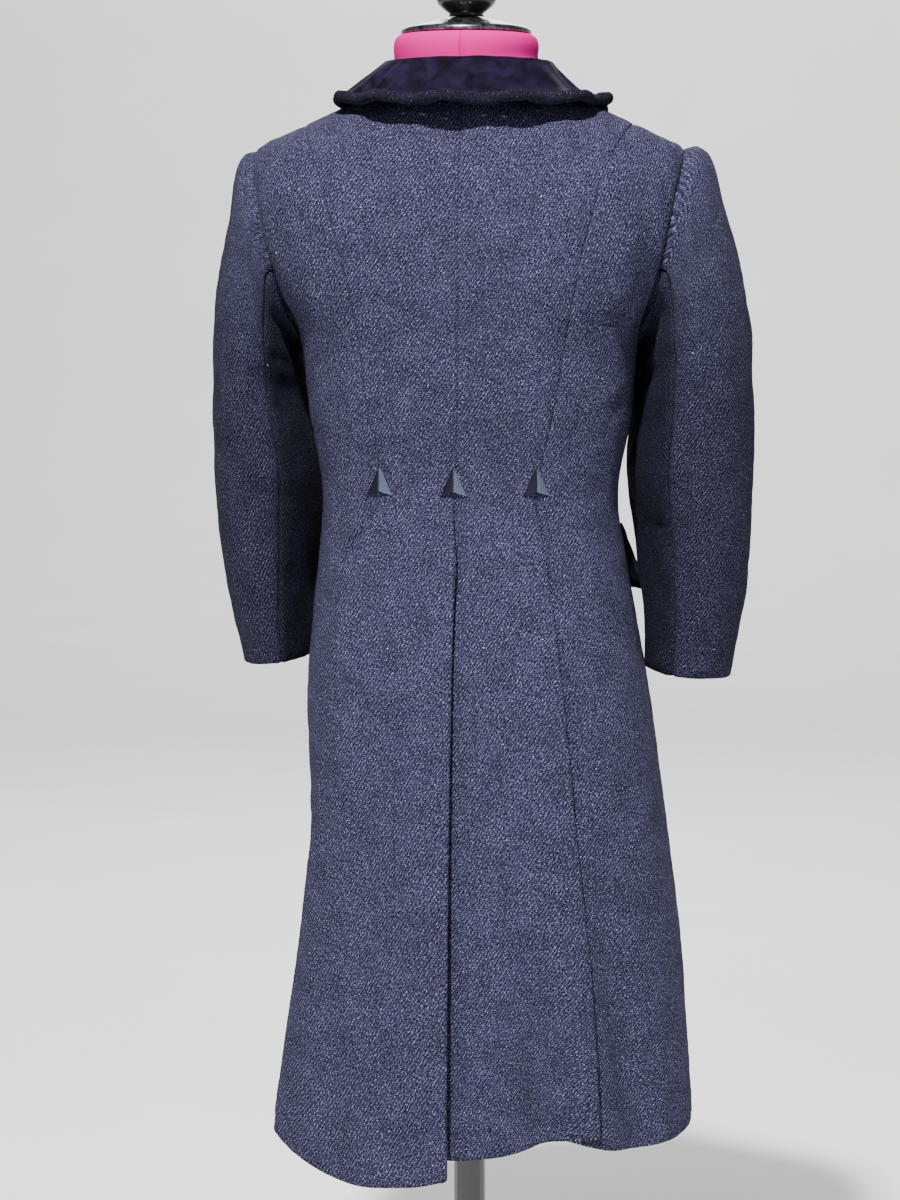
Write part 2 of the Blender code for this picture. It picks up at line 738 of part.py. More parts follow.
def armhole_loop(side):
    """The armhole's points: down its back from the shoulder point, then up its front."""
    down = []
    up = []
    for step in ARMHOLE_STEPS:
        position = SHOULDER_POINT + (UNDERARM - SHOULDER_POINT) * step
        down.append(coat_point(position, armhole_angle(step, side, False)))
        up.append(coat_point(position, armhole_angle(step, side, True)))
    return down + list(reversed(up[1:-1]))


def loop_angles():
    """Angle of each loop point: 0 outside, 90 at the back, 180 inside, 270 at the front."""
    down = [math.degrees(math.acos(1 - 2 * step)) for step in ARMHOLE_STEPS]
    return down + [360 - angle for angle in reversed(down[1:-1])]


def sleeve_section(row, sign, angle):
    """A point of a sleeve section: an ellipse through its outer and inner edge."""
    turn = math.radians(angle)
    centre_x_mm = (row.outer + row.inner) / 2
    centre_z = (row.outer_z + row.inner_z) / 2
    x = centre_x_mm + (row.outer - row.inner) / 2 * math.cos(turn)
    z = centre_z + (row.outer_z - row.inner_z) / 2 * math.cos(turn)
    y = row.middle + row.depth / 2 * math.sin(turn)
    return Vector((sign * x, y, z))


def sleeve_row(which, position):
    """The splined sleeve row at a position between the table's rows."""
    table = SLEEVES[which]
    numbers = [
        spline([getattr(row, field) for row in table], position)
        for field in SleeveRow._fields[1:]
    ]
    return SleeveRow("", *numbers)


def sleeve_grid(which):
    """Outer and inner points of a whole sleeve, ring by ring from the armhole to the cuff."""
    sign = 1 if which == "left" else -1
    angles = loop_angles()
    loop = armhole_loop(sign)
    first = SLEEVES[which][0]
    own_shape = [point - sleeve_section(first, sign, angle) for point, angle in zip(loop, angles)]
    outer = []
    for position in SLEEVE_STEPS:
        row = sleeve_row(which, position)
        share = max(row.armhole, 0.0)
        ring = []
        for angle, offset in zip(angles, own_shape):
            point = sleeve_section(row, sign, angle) + offset * share
            centre = sleeve_section(row, sign, 90) + sleeve_section(row, sign, 270)
            outward = (point - centre / 2).normalized()
            for dent in SLEEVE_DENTS[which]:
                near = bell(position - dent.row, dent.span) * bell(angle - dent.angle, dent.turn)
                point = point + outward * dent.depth * near
            ring.append(point)
        outer.append(ring)
    count = len(angles)
    for column in range(count):
        ahead = (outer[1][column] - outer[0][column]).normalized()
        outer[0][column] = outer[0][column] + ahead * SEAM_GAP
    inner = []
    for index, ring in enumerate(outer):
        above = outer[max(index - 1, 0)]
        below = outer[min(index + 1, len(outer) - 1)]
        middle = sum(ring, Vector()) / count
        inner_ring = []
        for column in range(count):
            along = below[column] - above[column]
            around = ring[(column + 1) % count] - ring[column - 1]
            normal = around.cross(along).normalized()
            if normal.dot(ring[column] - middle) < 0:
                normal.negate()
            inner_ring.append(ring[column] - normal * WALL)
        inner.append(inner_ring)
    return outer, inner


def sleeve_pieces(which, collection):
    """The top sleeve round the outside of the arm and the under sleeve inside it."""
    outer, inner = sleeve_grid(which)
    count = len(outer[0])
    back_seam = BACK_SEAM_STEP
    front_seam = count - FRONT_SEAM_STEP
    under = list(range(back_seam, front_seam + 1))
    top = list(range(front_seam, count)) + list(range(back_seam + 1))
    for name, columns in (("top_sleeve_", top), ("under_sleeve_", under)):
        piece_outer = [[ring[column].copy() for column in columns] for ring in outer]
        piece_inner = [[ring[column].copy() for column in columns] for ring in inner]
        push_edge(piece_outer, piece_inner, "start", SEAM_GAP / 2)
        push_edge(piece_outer, piece_inner, "end", SEAM_GAP / 2)
        add_wall(name + which, piece_outer, piece_inner, "wool", collection)


# The collar and its welt


def collar_wave(angle):
    """How far the collar's edge waves out, from 0 to its full height."""
    return COLLAR_WAVE_HEIGHT * (0.5 + 0.5 * math.cos(math.radians(
        COLLAR_WAVES * (angle - COLLAR_WAVE_PHASE))))


def collar_point(index, fraction):
    """A point of the velvet face: a ring by index, from its left front end to its right one."""
    reach = 180 - COLLAR_FRONT_GAP[index]
    angle = reach * (1 - 2 * fraction)
    point = ring_point(COLLAR[index], angle)
    flat = Vector((point.x, point.y, 0)).normalized()
    lift = (flat * 0.6 + Vector((0, 0, 0.8))) * collar_wave(angle) * COLLAR_WAVE_SHARE[index]
    drop = COLLAR_RIGHT_DROP[index] * smooth_step(-math.sin(math.radians(angle)))
    return point + lift - Vector((0, 0, drop))


def grid_normals(grid):
    """Directions square to a grid of points, all on the same side of it."""
    normals = []
    for row, line in enumerate(grid):
        above = grid[max(row - 1, 0)]
        below = grid[min(row + 1, len(grid) - 1)]
        normal_row = []
        for column in range(len(line)):
            ahead = line[min(column + 1, len(line) - 1)]
            behind = line[max(column - 1, 0)]
            normal_row.append((below[column] - above[column]).cross(ahead - behind).normalized())
        normals.append(normal_row)
    return normals


def collar_piece(collection):
    """The folded velvet collar, as one wall."""
    fractions = [column / COLLAR_COLUMNS for column in range(COLLAR_COLUMNS + 1)]
    face = [[collar_point(index, fraction) for fraction in fractions] for index in range(len(COLLAR))]
    normals = grid_normals(face)
    middle = COLLAR_COLUMNS // 2
    sign = 1 if normals[-1][middle].y > 0 else -1
    back = [
        [point - normal * sign * VELVET_WALL for point, normal in zip(points, directions)]
        for points, directions in zip(face, normals)
    ]
    add_wall("collar", face, back, "velvet", collection)


def add_tube(node, centres, ups, radii, finish_name, collection):
    """A tube round a line of centres, each with its own upward direction and radius."""
    vertices, faces = [], []
    last = len(centres) - 1
    for index, centre in enumerate(centres):
        tangent = (centres[min(index + 1, last)] - centres[max(index - 1, 0)]).normalized()
        across = tangent.cross(ups[index]).normalized()
        up = across.cross(tangent)
        for side in range(TUBE_SIDES):
            turn = 2 * math.pi * (side + 0.5) / TUBE_SIDES
            vertices.append(centre + (across * math.cos(turn) + up * math.sin(turn)) * radii[index])
    for index in range(last):
        for side in range(TUBE_SIDES):
            a = index * TUBE_SIDES + side
            b = index * TUBE_SIDES + (side + 1) % TUBE_SIDES
            faces.append((a, b, b + TUBE_SIDES, a + TUBE_SIDES))
    faces.append(tuple(range(TUBE_SIDES)))
    faces.append(tuple(last * TUBE_SIDES + side for side in range(TUBE_SIDES)))
    return add_object(node, vertices, faces, finish_name, collection, sharp_degrees=75)


def collar_welt(collection):
    """The puckered wool welt along the collar's outer edge."""
    edge = len(COLLAR) - 1
    centres, ups, radii = [], [], []
    for index in range(WELT_SEGMENTS + 1):
        fraction = index / WELT_SEGMENTS
        point = collar_point(edge, fraction)
        inside = collar_point(edge - 1, fraction)
        outward = (point - inside).normalized()
        pucker = WELT_PUCKER_HEIGHT * math.cos(2 * math.pi * WELT_PUCKERS * fraction)
        centre = point + outward * (WELT_RADIUS + WELT_PUCKER_HEIGHT + SEAM_GAP)
        centres.append(centre - Vector((0, 0, 0.8)))
        ups.append(Vector((0, 0, 1)))
        radii.append(WELT_RADIUS + pucker)
    add_tube("collar_welt", centres, ups, radii, "wool", collection)


# What lies on the panels


def flap_stand(flap, along, down):
    """How far a flap stands away from the panel as it hangs."""
    return (flap.rear_out + (flap.front_out - flap.rear_out) * along) * down ** 1.3


def flap_point(which, along, down, out=0.0):
    """A point of a pocket flap's face: along from the rear end (0) to the front end (1)."""
    flap = FLAPS[which]
    height = flap.top_z + (flap.bottom_z - flap.top_z) * down
    position = position_at_height(height)
    angle = flap.rear + (flap.front - flap.rear) * along
    lift = LAP_GAP + FLAP_WALL + flap_stand(flap, along, down) + out
    return coat_point(position, angle) + coat_normal(position, angle) * lift


def pocket_flap(which, collection):
    """A velvet flap made from the panel's points, moved out, and the wool welt on its edge."""
    alongs = [column / 8 for column in range(9)]
    downs = (0, 0.25, 0.5, 0.75, 1)
    face = [[flap_point(which, along, down) for along in alongs] for down in downs]
    back = [[flap_point(which, along, down, -FLAP_WALL) for along in alongs] for down in downs]
    add_wall("flap_" + which, face, back, "velvet", collection)
    flap = FLAPS[which]
    length = (flap_point(which, 1, 1) - flap_point(which, 0, 1)).length
    beside = FLAP_WELT_OFFSET / length
    below = 1 + FLAP_WELT_OFFSET / (flap.top_z - flap.bottom_z)
    route = [(-beside, down) for down in (0.08, 0.4, 0.75)]
    route += [(-0.7 * beside, below - 0.02)]
    route += [(along, below) for along in (0.1, 0.36, 0.64, 0.9)]
    route += [(1 + 0.7 * beside, below - 0.02)]
    route += [(1 + beside, down) for down in (0.75, 0.4, 0.08)]
    centres = []
    for along, down in route:
        stand = flap_stand(flap, along, down)
        centres.append(flap_point(which, along, down, max(-FLAP_WALL / 2, 0.9 - stand)))
    ups = [Vector((centre.x, centre.y, 0)).normalized() for centre in centres]
    radii = [FLAP_WELT_RADIUS] * len(centres)
    add_tube("flap_welt_" + which, centres, ups, radii, "wool", collection)


def arrowhead(node, seam_distance, collection):
    """A raised satin-stitched triangle over the head of a pleat."""
    outer, inner = [], []
    downs = (0.0, 0.2, 0.45, 0.72, 1.0)
    acrosses = (-1.0, -0.55, -0.18, 0.18, 0.55, 1.0)
    for down in downs:
        height = ARROW_TIP_Z + (ARROW_BASE_Z - ARROW_TIP_Z) * down
        half = 0.7 + (ARROW_HALF_WIDTH - 0.7) * down ** 1.35
        position = position_at_height(height)
        outer_row, inner_row = [], []
        for across in acrosses:
            angle = angle_at(position, seam_distance + half * across)
            point = coat_point(position, angle)
            normal = coat_normal(position, angle)
            rise = ARROW_HEIGHT * (0.45 + 0.55 * (1 - abs(across)))
            outer_row.append(point + normal * (ARROW_GAP + rise))
            inner_row.append(point + normal * ARROW_GAP)
        outer.append(outer_row)
        inner.append(inner_row)
    add_wall(node, outer, inner, "tack_thread", collection)


# Turned pieces


def add_turned(node, profile, finish_name, collection, steps):
    """A profile from the axis down its outer side and back to the axis, spun round Z."""
    mesh = bpy.data.meshes.new(node)
    points = [(radius * MM, 0, height * MM) for radius, height in profile]
    edges = [(index, index + 1) for index in range(len(points) - 1)]
    mesh.from_pydata(points, edges, [])
    thing = bpy.data.objects.new(node, mesh)
    collection.objects.link(thing)
    mesh.materials.append(finish_material(node, finish_name))
    screw = thing.modifiers.new("Turn", "SCREW")
    screw.steps = steps
    screw.render_steps = steps
    screw.use_merge_vertices = True
    screw.merge_threshold = 0.00001
    screw.use_smooth_shade = True
    return thing


def buttons(collection):
    """Plain sewn buttons, each square to the right front at the centre."""
    outside, half = BUTTON_RADIUS, BUTTON_THICKNESS / 2
    profile = (
        (0, half + BUTTON_SHANK - 0.9),
        (outside * 0.62, half + BUTTON_SHANK - 0.7),
        (outside * 0.72, half + BUTTON_SHANK + 0.1),
        (outside * 0.9, half + BUTTON_SHANK),
        (outside, BUTTON_SHANK),
        (outside * 0.86, BUTTON_SHANK - half + 0.5),
        (2.2, BUTTON_SHANK - half + 0.3),
        (2.0, 0),
        (0, 0),
    )
    for index, height in enumerate(BUTTON_HEIGHTS):
        position = front_position(height)
        point = coat_point(position, -180)
        normal = coat_normal(position, -180)
        button = add_turned(f"button_{index + 1}", profile, "button", collection, steps=14)
        button.location = (point + normal * SEAM_GAP) * MM
        button.rotation_mode = "QUATERNION"
        button.rotation_quaternion = Vector((0, 0, 1)).rotation_difference(normal)


def front_position(height):
    """The position whose centre front lies at a height."""
    low, high = 0.0, float(HEM)
    for _ in range(40):
        middle = (low + high) / 2
        if row_at(TORSO, middle).front_z > height:
            low = middle
        else:
            high = middle
    return (low + high) / 2


# The dress form and its stand


def form_body(collection):
    """The padded form: neck, shoulders, bust and hips, closed at the armholes and below."""
    rings = []
    angles = [360 * column / FORM_COLUMNS for column in range(FORM_COLUMNS)]
    for height, radius in NECK_RINGS:
        ring = []
        for angle in angles:
            turn = math.radians(angle)
            around = Vector((radius * math.sin(turn), radius * math.cos(turn), height))
            ring.append(around + NECK_SHIFT)
        rings.append(ring)
    for index, inside, below in NECK_INSIDE:
        ring = []
        for angle in angles:
            point = ring_point(COLLAR[index], angle)
            flat = Vector((point.x, point.y, 0)).normalized()
            ring.append(point - flat * inside - Vector((0, 0, below)))
        rings.append(ring)
    for row in FORM_ROWS:
        ring = []
        for angle in angles:
            signed = (angle + 180) % 360 - 180
            from_side = abs(abs(signed) - 90)
            ease = row.ease
            if row.position < SHOULDER_POINT:
                ease += SHOULDER_EASE * (1 - bell(from_side, SHOULDER_EASE_WIDTH))
            ease += (FRONT_SINK + 3.0) * bell(180 - abs(signed), 32)
            point = coat_point(row.position, signed)
            ring.append(point - coat_normal(row.position, signed) * ease)
        rings.append(ring)
    foot = [Vector((point.x * 0.97, point.y * 0.97, FORM_BOTTOM_Z)) for point in rings[-1]]
    rings.append(foot)
    vertices = [point for ring in rings for point in ring]
    faces = []
    for index in range(len(rings) - 1):
        for column in range(FORM_COLUMNS):
            a = index * FORM_COLUMNS + column
            b = index * FORM_COLUMNS + (column + 1) % FORM_COLUMNS
            faces.append((a, b, b + FORM_COLUMNS, a + FORM_COLUMNS))
    faces.append(tuple(range(FORM_COLUMNS)))
    start = (len(rings) - 1) * FORM_COLUMNS
    faces.append(tuple(start + column for column in range(FORM_COLUMNS)))
    add_object("form_body", vertices, faces, "form_jersey", collection, sharp_degrees=50)


def stand(collection):
    """Neck cap and finial above, pole and weighted round base below."""
    cap_z = NECK_TOP_Z + SEAM_GAP
    cap = (
        (0, cap_z + 13.5),
        (10.5, cap_z + 13.0),
        (16, cap_z + 11.2),
        (30, cap_z + 8.2),
        (44, cap_z + 5.2),
        (47.5, cap_z + 4.2),
        (49, cap_z + 2.2),
        (48, cap_z),
        (0, cap_z),
    )
    neck_cap = add_turned("neck_cap", cap, "dark_metal", collection, steps=32)
    neck_cap.location = NECK_SHIFT * MM
    knob = cap_z + 13.5 + SEAM_GAP
    finial = (
        (0, knob + 54),
        (7, knob + 52.5),
        (11.5, knob + 48),
        (13, knob + 42),
        (11, knob + 36),
        (8, knob + 32),
        (8.5, knob + 29),
        (16, knob + 25),
        (21, knob + 19),
        (22.5, knob + 14),
        (21, knob + 9),
        (16.5, knob + 4.8),
        (13, knob + 2.2),
        (13.5, knob),
        (0, knob),
    )
    knob_piece = add_turned("finial", finial, "stand_black", collection, steps=20)
    knob_piece.location = NECK_SHIFT * MM
    pole_bottom = BASE_HEIGHT + 16 + SEAM_GAP
    pole = (
        (0, FORM_BOTTOM_Z - SEAM_GAP),
        (38, FORM_BOTTOM_Z - SEAM_GAP),
        (38, FORM_BOTTOM_Z - 8),
        (POLE_RADIUS + 6, FORM_BOTTOM_Z - 10),
        (POLE_RADIUS + 4, FORM_BOTTOM_Z - 36),
        (POLE_RADIUS, FORM_BOTTOM_Z - 38),
        (POLE_RADIUS, pole_bottom),
        (0, pole_bottom),
    )
    add_turned("pole", pole, "stand_black", collection, steps=16)
    base = (
        (0, BASE_HEIGHT + 16),
        (POLE_RADIUS + 7, BASE_HEIGHT + 16),
        (POLE_RADIUS + 10, BASE_HEIGHT + 12),
        (POLE_RADIUS + 14, BASE_HEIGHT + 4),
        (BASE_RADIUS * 0.45, BASE_HEIGHT - 1),
        (BASE_RADIUS * 0.85, BASE_HEIGHT - 6),
        (BASE_RADIUS * 0.97, BASE_HEIGHT - 11),
        (BASE_RADIUS, BASE_HEIGHT - 17),
        (BASE_RADIUS - 2, 0),
        (0, 0),
    )
    add_turned("base", base, "stand_black", collection, steps=32)


def main():
    """Build the coat, the form and the stand."""
    clear_scene()
    collection = new_collection("wool_coat_on_dress_form")
    for side in (1, -1):
        back_panel(side, collection)
        side_back_panel(side, collection)
        side_front_panel(side, collection)
        front_panel(side, collection)
    for which in ("left", "right"):
        sleeve_pieces(which, collection)
        pocket_flap(which, collection)
    collar_piece(collection)
    collar_welt(collection)
    arrowhead("arrowhead_centre", centre_x(WAIST), collection)
    arrowhead("arrowhead_left", princess_x(1)(WAIST), collection)
    arrowhead("arrowhead_right", princess_x(-1)(WAIST), collection)
    buttons(collection)
    form_body(collection)
    stand(collection)


main()
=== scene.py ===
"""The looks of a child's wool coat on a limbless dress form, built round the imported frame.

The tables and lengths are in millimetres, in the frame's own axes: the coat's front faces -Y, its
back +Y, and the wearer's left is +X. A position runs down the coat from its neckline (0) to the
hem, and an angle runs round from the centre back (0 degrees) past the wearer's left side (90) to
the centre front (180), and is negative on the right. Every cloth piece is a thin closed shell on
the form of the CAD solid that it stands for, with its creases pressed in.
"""

import math
from collections import namedtuple

import bpy
import numpy as np
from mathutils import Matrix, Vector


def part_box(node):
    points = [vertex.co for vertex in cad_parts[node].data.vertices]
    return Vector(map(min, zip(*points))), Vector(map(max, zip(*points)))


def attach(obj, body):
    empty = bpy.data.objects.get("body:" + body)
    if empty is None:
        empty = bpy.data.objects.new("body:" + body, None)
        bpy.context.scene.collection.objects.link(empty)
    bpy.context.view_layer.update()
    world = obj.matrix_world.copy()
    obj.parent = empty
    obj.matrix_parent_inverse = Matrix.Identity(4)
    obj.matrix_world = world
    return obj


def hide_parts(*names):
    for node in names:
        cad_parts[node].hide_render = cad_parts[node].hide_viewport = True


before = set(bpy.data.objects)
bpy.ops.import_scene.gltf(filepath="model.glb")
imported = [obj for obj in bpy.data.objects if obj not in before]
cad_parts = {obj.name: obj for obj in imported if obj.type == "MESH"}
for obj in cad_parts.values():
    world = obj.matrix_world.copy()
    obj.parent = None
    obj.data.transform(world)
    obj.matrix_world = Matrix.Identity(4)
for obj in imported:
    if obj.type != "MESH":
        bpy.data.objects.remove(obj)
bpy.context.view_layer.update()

MM = 0.001

# Cloth: its walls, how far its pieces overlap at seams, down to which positions the shoulder's are
# closed, the least width that an edge reckons with, and the heights in metres between which a sleeve's
# painted shade turns from its lower depth to its upper one
WALL = 2.4
VELVET_WALL = 3.0
FLAP_WALL = 2.6
LAP_GAP = 0.7
SEAM_OVERLAP = 0.38
SHOULDER_OVERLAP = 0.6
CLOSED_TO, CLOSING_RUN = 2.4, 1.4
NARROWEST = 12.0
SLEEVE_OVERLAP = -0.1
ARMHOLE_OVERLAP = 0.8
SLEEVE_SHADE_HEIGHTS = (0.22, 0.38)

# Layers of unevenness in the cloth, each with its height, size and seed
BODY_UNEVEN = ((0.55, 58, 3), (0.28, 21, 8))
BODY_FINE = ((0.18, 9, 5),)
SLEEVE_UNEVEN = ((0.6, 46, 21), (0.25, 18, 23))
SLEEVE_FINE = ((0.16, 9, 27),)
SLEEVE_SEAM_SHARE = 1.3

# Heights of the whole
FORM_BOTTOM_Z = 645.0
NECK_TOP_Z = 1128.0
NECK_SHIFT = 3.0
STAND_GAP = 0.3
WAIST_Z = 788.0
HEM_Z = 295.0

LEFT, RIGHT, SIDE_Z, BACK, BACK_Z, FRONT, FRONT_Z, SQUARE = range(8)

# The coat's outer surface, from the neckline to the hem: half widths, heights and squareness
TORSO = np.array((
    (66, 66, 1089, 61, 1085, 68, 1044, 2.1),
    (94, 94, 1075, 79, 1066, 80, 1026, 2.1),
    (122, 122, 1062, 91, 1038, 90, 1000, 2.15),
    (160, 160, 1043, 98, 1006, 96, 972, 2.3),
    (162, 162, 1014, 101, 978, 99, 950, 2.9),
    (156, 156, 980, 101, 954, 100, 932, 3.2),
    (143, 143, 943, 99, 928, 100, 916, 3.1),
    (127, 127, 904, 95, 902, 99, 900, 2.7),
    (121, 123, 850, 88, 850, 97, 850, 2.5),
    (112, 112.5, 788, 78, 788, 91, 788, 2.4),
    (115, 118, 737, 86, 737, 97, 737, 2.35),
    (119, 125, 700, 94, 700, 102, 700, 2.3),
    (124, 138, 627, 107, 627, 110, 627, 2.3),
    (122, 152, 525, 122, 525, 119, 525, 2.25),
    (126, 161, 450, 130, 450, 125, 450, 2.2),
    (135, 165, 379, 136, 379, 130, 379, 2.2),
    (149, 169, 295, 141, 295, 134, 295, 2.2),
))
PRINCESS_TOP, SHOULDER_POINT, UNDERARM, WAIST, HEM = 2, 3, 7, 9, 16

# How far from the centre each princess seam runs, from the princess top down
PRINCESS = {
    "back_left": (122, 107, 97, 88, 81, 76, 70, 61, 83, 87, 95, 106, 113, 120, 128),
    "back_right": (122, 106, 97, 89, 83, 77, 68, 55, 59, 64, 73, 83, 91, 96, 101),
    "front": (122, 104, 94, 88, 84, 80, 74, 66, 76, 82, 90, 98, 103, 107, 112),
}
ARMHOLE_STEPS = np.array((0.0, 0.06, 0.17, 0.33, 0.5, 0.67, 0.83, 0.94, 1.0))
ARMHOLE_BULGE = 20.0
NECK_STEPS = (0.0, 0.5, 1.0, 1.5)
SIDE_NAMES = {1: "left", -1: "right"}
CENTRE_STEPS = (0.0, 0.45, 0.9, 1.35, 1.8, 2.3, 2.85, 3.4, 4.05, 4.75, 5.5, 6.2, 7.0)

# How far the centre back seam lies towards the wearer's left, by torso row
CENTRE_LINE = (0, 0.3, 0.7, 1, 1, 1, 1.2, 1.6, 2.5, 5.5, 8, 9.5, 10, 10, 10, 9.8, 9.6)

Fold = namedtuple("Fold", "name top_z top_angle hem_angle width depth")
FOLDS = (
    Fold("left back lobe", 560, 22, 25, 17, 11),
    Fold("left side lobe", 600, 66, 62, 16, 4),
    Fold("right centre lobe", 520, -8, -10, 9, 4),
    Fold("right hem hollow", 470, -24, -30, 8, -15),
    Fold("right side hollow", 640, -42, -57, 8, -9),
    Fold("right side lobe", 560, -78, -80, 12, 5),
    Fold("left front lobe", 600, 118, 122, 13, 7),
    Fold("left front hollow", 560, 142, 144, 9, -7),
    Fold("right front lobe", 600, -116, -120, 13, 7),
    Fold("right front hollow", 540, -140, -145, 9, -8),
)

# Where each panel's hem lies: height at its edge nearer the centre, at its side, and bow between
HEMS = {
    "back_left": (295, 308, -16),
    "side_back_left": (307, 318, -3),
    "side_front_left": (302, 318, -6),
    "front_left": (301, 302, -2),
    "back_right": (303, 320, -1),
    "side_back_right": (315, 313, -12),
    "side_front_right": (300, 313, -5),
    "front_right": (298, 300, -2),
}

# Above the hem: where its slope starts, how far it is turned up, and how much thicker that is; and how
# far from its edges a panel has its full relief
HEM_FALL_Z = 450
HEM_TURN = 34
HEM_WALL = 0.9
EDGE_CALM = 16

Pleat = namedtuple("Pleat", "lap lift_top lift_hem under sink")
CENTRE_PLEAT = Pleat(4.0, 5.5, 15.0, 26.0, 3.4)
PRINCESS_PLEAT = Pleat(3.0, 4.5, 9.0, 15.0, 3.4)
FOLD_EDGE_WALL = 4.6
FRONT_LAP = 17.0
FRONT_SINK = WALL + 1.6
SUNK_EDGE = 3.5
RISEN_EDGE = 13.0

# The sleeves: outer and inner edge with their heights, middle, depth, share of the armhole's shape
SLEEVES = {
    "left": np.array((
        (160, 1043, 127, 904, 0, 110, 1.0),
        (170, 1040, 129, 902, 0, 112, 0.85),
        (176.5, 1026, 131, 899, 0, 114, 0.62),
        (180.5, 997, 132, 894, 0, 114, 0.36),
        (189, 962, 131, 886, -1, 113, 0.14),
        (195, 915, 128, 872, -3, 112, 0.0),
        (197, 860, 123, 848, -6, 110, 0.0),
        (197.5, 805, 114.5, 800, -10, 107, 0.0),
        (195, 750, 117.5, 745, -18, 103, 0.0),
        (188, 700, 123.5, 698, -26, 100, 0.0),
        (179, 653, 126, 657, -31, 98, 0.0),
    )),
    "right": np.array((
        (160, 1043, 127, 904, 0, 110, 1.0),
        (171.5, 1045, 129, 902, 0, 112, 0.85),
        (181.5, 1034, 131, 899, 0, 113, 0.62),
        (190, 1003, 131.5, 894, 1, 112, 0.36),
        (202, 962, 130, 886, 2, 110, 0.14),
        (211, 914, 127, 872, 3, 108, 0.0),
        (214.5, 856, 124.6, 848, 4, 105, 0.0),
        (214.5, 805, 119.5, 800, 4, 100, 0.0),
        (213, 752, 124, 748, 1, 94, 0.0),
        (208.5, 700, 131.5, 700, -3, 90, 0.0),
        (199, 648, 133.5, 653, -7, 88, 0.0),
    )),
}
SLEEVE_BACK_SEAM = 109.9
INNER_TURN = 42.0
INNER_TURN_ANGLE = 165.0
INNER_TURN_WIDTH = 45.0
SLEEVE_FRONT_SEAM = 228.7

Dent = namedtuple("Dent", "row angle span turn depth")
SLEEVE_DENTS = {
    "left": (Dent(5.6, 120, 0.45, 34, -5.0), Dent(7.6, 95, 0.5, 30, -3.0), Dent(2.9, 180, 1.6, 50, 5.0),
             Dent(5.2, 180, 1.3, 50, 2.6), Dent(7.4, 180, 1.0, 50, 2.6)),
    "right": (Dent(5.0, 128, 0.4, 30, -4.0), Dent(7.9, 130, 0.45, 45, -3.0), Dent(2.9, 180, 1.6, 50, 8.0),
              Dent(4.2, 180, 0.9, 50, 4.0), Dent(5.2, 180, 1.3, 50, 5.0), Dent(6.3, 180, 0.6, 50, 2.5)),
}

# The collar's velvet face: up the stand, over the roll and down the fall
COLLAR = np.array((
    (62.8, 62.4, 1090.4, 57.8, 1086.4, 64.8, 1045.8, 2.1),
    (60.8, 60.0, 1099, 57.5, 1096, 64, 1054, 2.1),
    (59.4, 58.0, 1105, 57.8, 1104, 64.5, 1060, 2.1),
    (62.6, 61.2, 1108.4, 61.5, 1108.4, 68.5, 1063.5, 2.1),
    (68.0, 64.5, 1105.4, 67, 1105.4, 74.5, 1060, 2.1),
    (76.5, 72, 1097, 75, 1096.5, 84, 1049, 2.1),
    (85, 80.5, 1088.5, 81, 1088, 92.5, 1037, 2.1),
    (91.5, 94, 1082.6, 86, 1080, 99, 1025, 2.1),
))
COLLAR_RIGHT_DROP = (0, 0, 0, 0, 1.0, 3.0, 3.6, 2.0)
COLLAR_WAVE_SHARE = (0, 0, 0, 0, 0, 0.3, 0.65, 1.0)
COLLAR_FRONT_GAP = (3.0, 3.0, 3.2, 3.5, 4.0, 6.0, 9.0, 14.0)
COLLAR_WAVES = 12
COLLAR_WAVE_HEIGHT = 3.4
COLLAR_WAVE_PHASE = 5.5
COLLAR_STAND_OFF = 5.0
WELT_RADIUS = 4.1
WELT_PUCKERS = 36
WELT_PUCKER_HEIGHT = 0.55
WELT_BORE = WELT_RADIUS - 2.2

Flap = namedtuple("Flap", "rear front top_z bottom_z rear_out front_out")
FLAPS = {
    "left": Flap(112, 143, 763, 713, 5.0, 5.0),
    "right": Flap(-108, -142, 763, 712, 11.5, 5.0),
}
FLAP_TOP_LIFT = 0.8
FLAP_WELT_RADIUS = 3.0
FLAP_WELT_OFFSET = 3.5
FLAP_WELT_BORE = FLAP_WELT_RADIUS - 1.8

# A button's radii and how far each stands out
BUTTON_PROFILE = (
    (0.01, 4.3), (1.2, 4.3), (5.4, 4.4), (6.6, 4.7), (7.4, 5.0), (8.4, 5.15), (9.4, 5.0),
    (10.1, 4.5), (10.4, 3.4), (10.0, 2.2), (8.9, 1.5), (2.3, 1.3), (2.0, 0.1), (0.01, 0.1),
)

ARROW_HALF_WIDTH = 10.5
ARROW_BASE_Z = 790.5
ARROW_TIP_Z = 808.0
ARROW_HEIGHT = 1.7
ARROW_GAP = 0.6

# The dress form: torso position, and how far it lies inside the coat's outer surface
FORM_ROWS = (
    (0.3, 3.9), (1.0, 3.2), (1.5, 3.2), (2.0, 3.3), (2.5, 4.2), (3.0, 6.0), (3.5, 7.5), (4.2, 9.0),
    (5.0, 9.5), (6.0, 10.0), (7.0, 10.0), (8.0, 10.0), (9.0, 9.5), (9.6, 11.0), (10.4, 13.5),
    (11.2, 17.0),
)
SHOULDER_EASE = 5.0
SHOULDER_EASE_WIDTH = 8.0
FRONT_EASE = 3.0
FRONT_EASE_WIDTH = 32
NECK_RINGS = ((NECK_TOP_Z, 50.0), (1125.0, 53.2), (1119.0, 54.5), (1109.0, 54.0))
NECK_INSIDE = ((1, 3.0, 0.0), (0, 2.4, 3.5))

# The photograph's camera: where it stands, how it looks and its focal length in pixels of 900 x 1200
EYE = np.array((-180.1, 2232.8, 943.0))
HEADING = 185.0
PITCH = 6.12
FOCAL = 2947.0
PHOTO_WIDTH, PHOTO_HEIGHT = 900, 1200
SENSOR = 36.0
